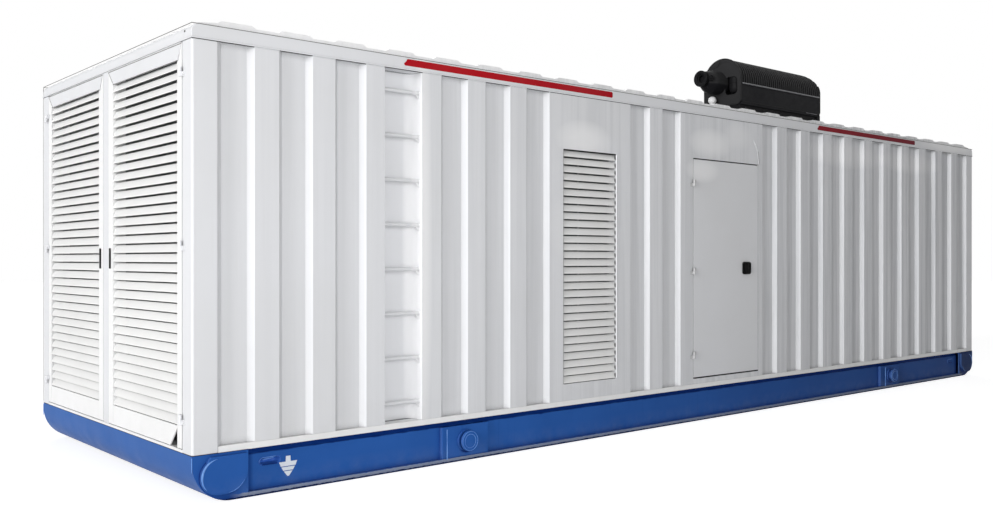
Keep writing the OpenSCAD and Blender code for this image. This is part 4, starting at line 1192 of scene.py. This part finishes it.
def inlet_pipe(bm):
    """Inlet pipe that rises in the pocket beside the outlet."""
    pipe = Vector((PLATE_LO.x + 0.078, PLATE_LO.y + 0.122, PLATE_LO.z + 0.128))
    rounds = [(0, 0), (0.034, 0.003), (0.054, 0.014), (0.064, 0.032), (0.068, 0.058)]
    add_lathe(bm, pipe, UP, [*rounds, (0.068, FLANGE_HI.z - pipe.z + 0.006)], 40)
    band = [(0.068, 0.110), (0.071, 0.112), (0.071, 0.120), (0.068, 0.122)]
    add_lathe(bm, pipe, UP, band, 40)


def silencer_outlet():
    """Outlet and inlet of the silencer, and the bolts of its flange and cradle."""
    bm = bmesh.new()
    outlet_rings(bm)
    inlet_pipe(bm)
    piece("silencer_outlet_rings", bm, "black", sharp=40)
    bolts = bmesh.new()
    for angle in (45, 135, 225, 315):
        a = math.radians(angle)
        y, z = OUTLET_Y + 0.077 * math.cos(a), OUTLET_Z + 0.077 * math.sin(a)
        add_bolt(bolts, (FLANGE_LO.x + 0.014, y, z), (1, 0, 0), 0.006)
        add_bolt(bolts, (FLANGE_LO.x, y, z), (-1, 0, 0), 0.005)
    lo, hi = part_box("silencer_cradle")
    for i in range(5):
        x = lo.x + 0.10 + i * (hi.x - lo.x - 0.20) / 4
        add_bolt(bolts, (x, lo.y, hi.z - 0.030), (0, -1, 0), 0.010)
        add_bolt(bolts, (x, hi.y, hi.z - 0.030), (0, 1, 0), 0.010)
    piece("silencer_bolts", bolts, "black_plate")


def vent_collar():
    """Flashing collar where the vent pipe leaves the roof."""
    lo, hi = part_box("roof_vent")
    foot = ((lo.x + hi.x) / 2, (lo.y + hi.y) / 2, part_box("roof_panel")[1].z)
    bm = bmesh.new()
    add_lathe(bm, foot, UP, [(0.060, 0), (0.058, 0.003), (0.036, 0.006), (0.030, 0.020), (0.0272, 0.022)], 36)
    piece("roof_vent_collar", bm, "rubber", sharp=50)


# ---------------------------------------------------------------- studio
def floor_finish():
    """Pale grey that shows as white to the camera and in reflections, and keeps the shadow."""
    g = Graph(bpy.data.materials.new("studio_floor"))
    g.tree.nodes.clear()
    grey = g.node("ShaderNodeBsdfDiffuse", {"Color": (0.58, 0.58, 0.58)})
    glow = g.node("ShaderNodeEmission", {"Strength": g.times(g.seen(), 0.80)})
    both = g.node("ShaderNodeAddShader", {0: grey, 1: glow})
    g.node("ShaderNodeOutputMaterial", {"Surface": both}, None)
    return g.owner


def floor():
    """A plain floor just under the object."""
    half = 60.0
    mesh = bpy.data.meshes.new("studio_floor")
    corners = [(-half, -half, 0), (half, -half, 0), (half, half, 0), (-half, half, 0)]
    mesh.from_pydata(corners, [], [(0, 1, 2, 3)])
    mesh.materials.append(floor_finish())
    obj = bpy.data.objects.new("studio_floor", mesh)
    SCENE.collection.objects.link(obj)
    obj.location.z = -0.0005


def world():
    """White to the camera and in reflections, and a dim fill for the rest."""
    g = Graph(bpy.data.worlds.new("studio"))
    g.tree.nodes.clear()
    strength = g.spread(g.seen(), 0.0, 1.0, 0.13, 1.0)
    back = g.node("ShaderNodeBackground", {"Color": (1.0, 1.0, 1.0), "Strength": strength})
    g.node("ShaderNodeOutputWorld", {"Surface": back}, None)
    SCENE.world = g.owner


def lamp(name, kind, place, target, energy, size):
    data = bpy.data.lights.new(name, kind)
    data.energy = energy
    if kind == "SUN":
        data.angle = math.radians(size)
    else:
        data.shape = "DISK"
        data.size = size
    obj = bpy.data.objects.new(name, data)
    obj.location = place
    obj.rotation_mode = "QUATERNION"
    obj.rotation_quaternion = (Vector(target) - Vector(place)).to_track_quat("-Z", "Y")
    SCENE.collection.objects.link(obj)


def lamps():
    lamp("key", "AREA", (-7.2, -9.3, 1.9), (-5.2, -1.5, 1.2), 428, 4.4)
    lamp("end_fill", "SUN", (-20.0, -2.8, 5.0), (0, 0, 1.5), 2.62, 30)
    lamp("back_fill", "SUN", (8.0, 14.0, 9.0), (0, 0, 1.5), 1.3, 40)


def camera():
    data = bpy.data.cameras.new("camera")
    data.lens = 35.706
    data.sensor_width = 36.0
    data.sensor_fit = "HORIZONTAL"
    data.clip_end = 300.0
    obj = bpy.data.objects.new("camera", data)
    obj.location = (-7.7015, -7.1316, 1.48205)
    obj.rotation_euler = (math.radians(89.926), 0.0, math.radians(-40.61))
    SCENE.collection.objects.link(obj)
    SCENE.camera = obj


SCENE.view_settings.view_transform = "Standard"
camera()
dress_cad()
rail_stripes()
rail_lips()
base_seam()
weld_beads()
earth_marks()
ladder_details()
gap_seals()
hinge_screws()
latch_details("door_latch", FRONT, "front_door_leaf")
latch_details("rear_door_latch", REAR, "enclosure")
slot_cups()
torn_corner()
lining_strips()
silencer_shell()
silencer_face()
silencer_strap()
silencer_outlet()
outlet_reducer()
vent_collar()
roof_edge_bead()
post_seams()
end_hood("near_end_door", "near_end_leaf", 0.050, 0.118)
end_hood("far_end_door", "far_end_leaf", 0.055, 0.128)
end_gap_fill()
creases()
louvre_trim()
skid_highlights()
floor()
world()
lamps()
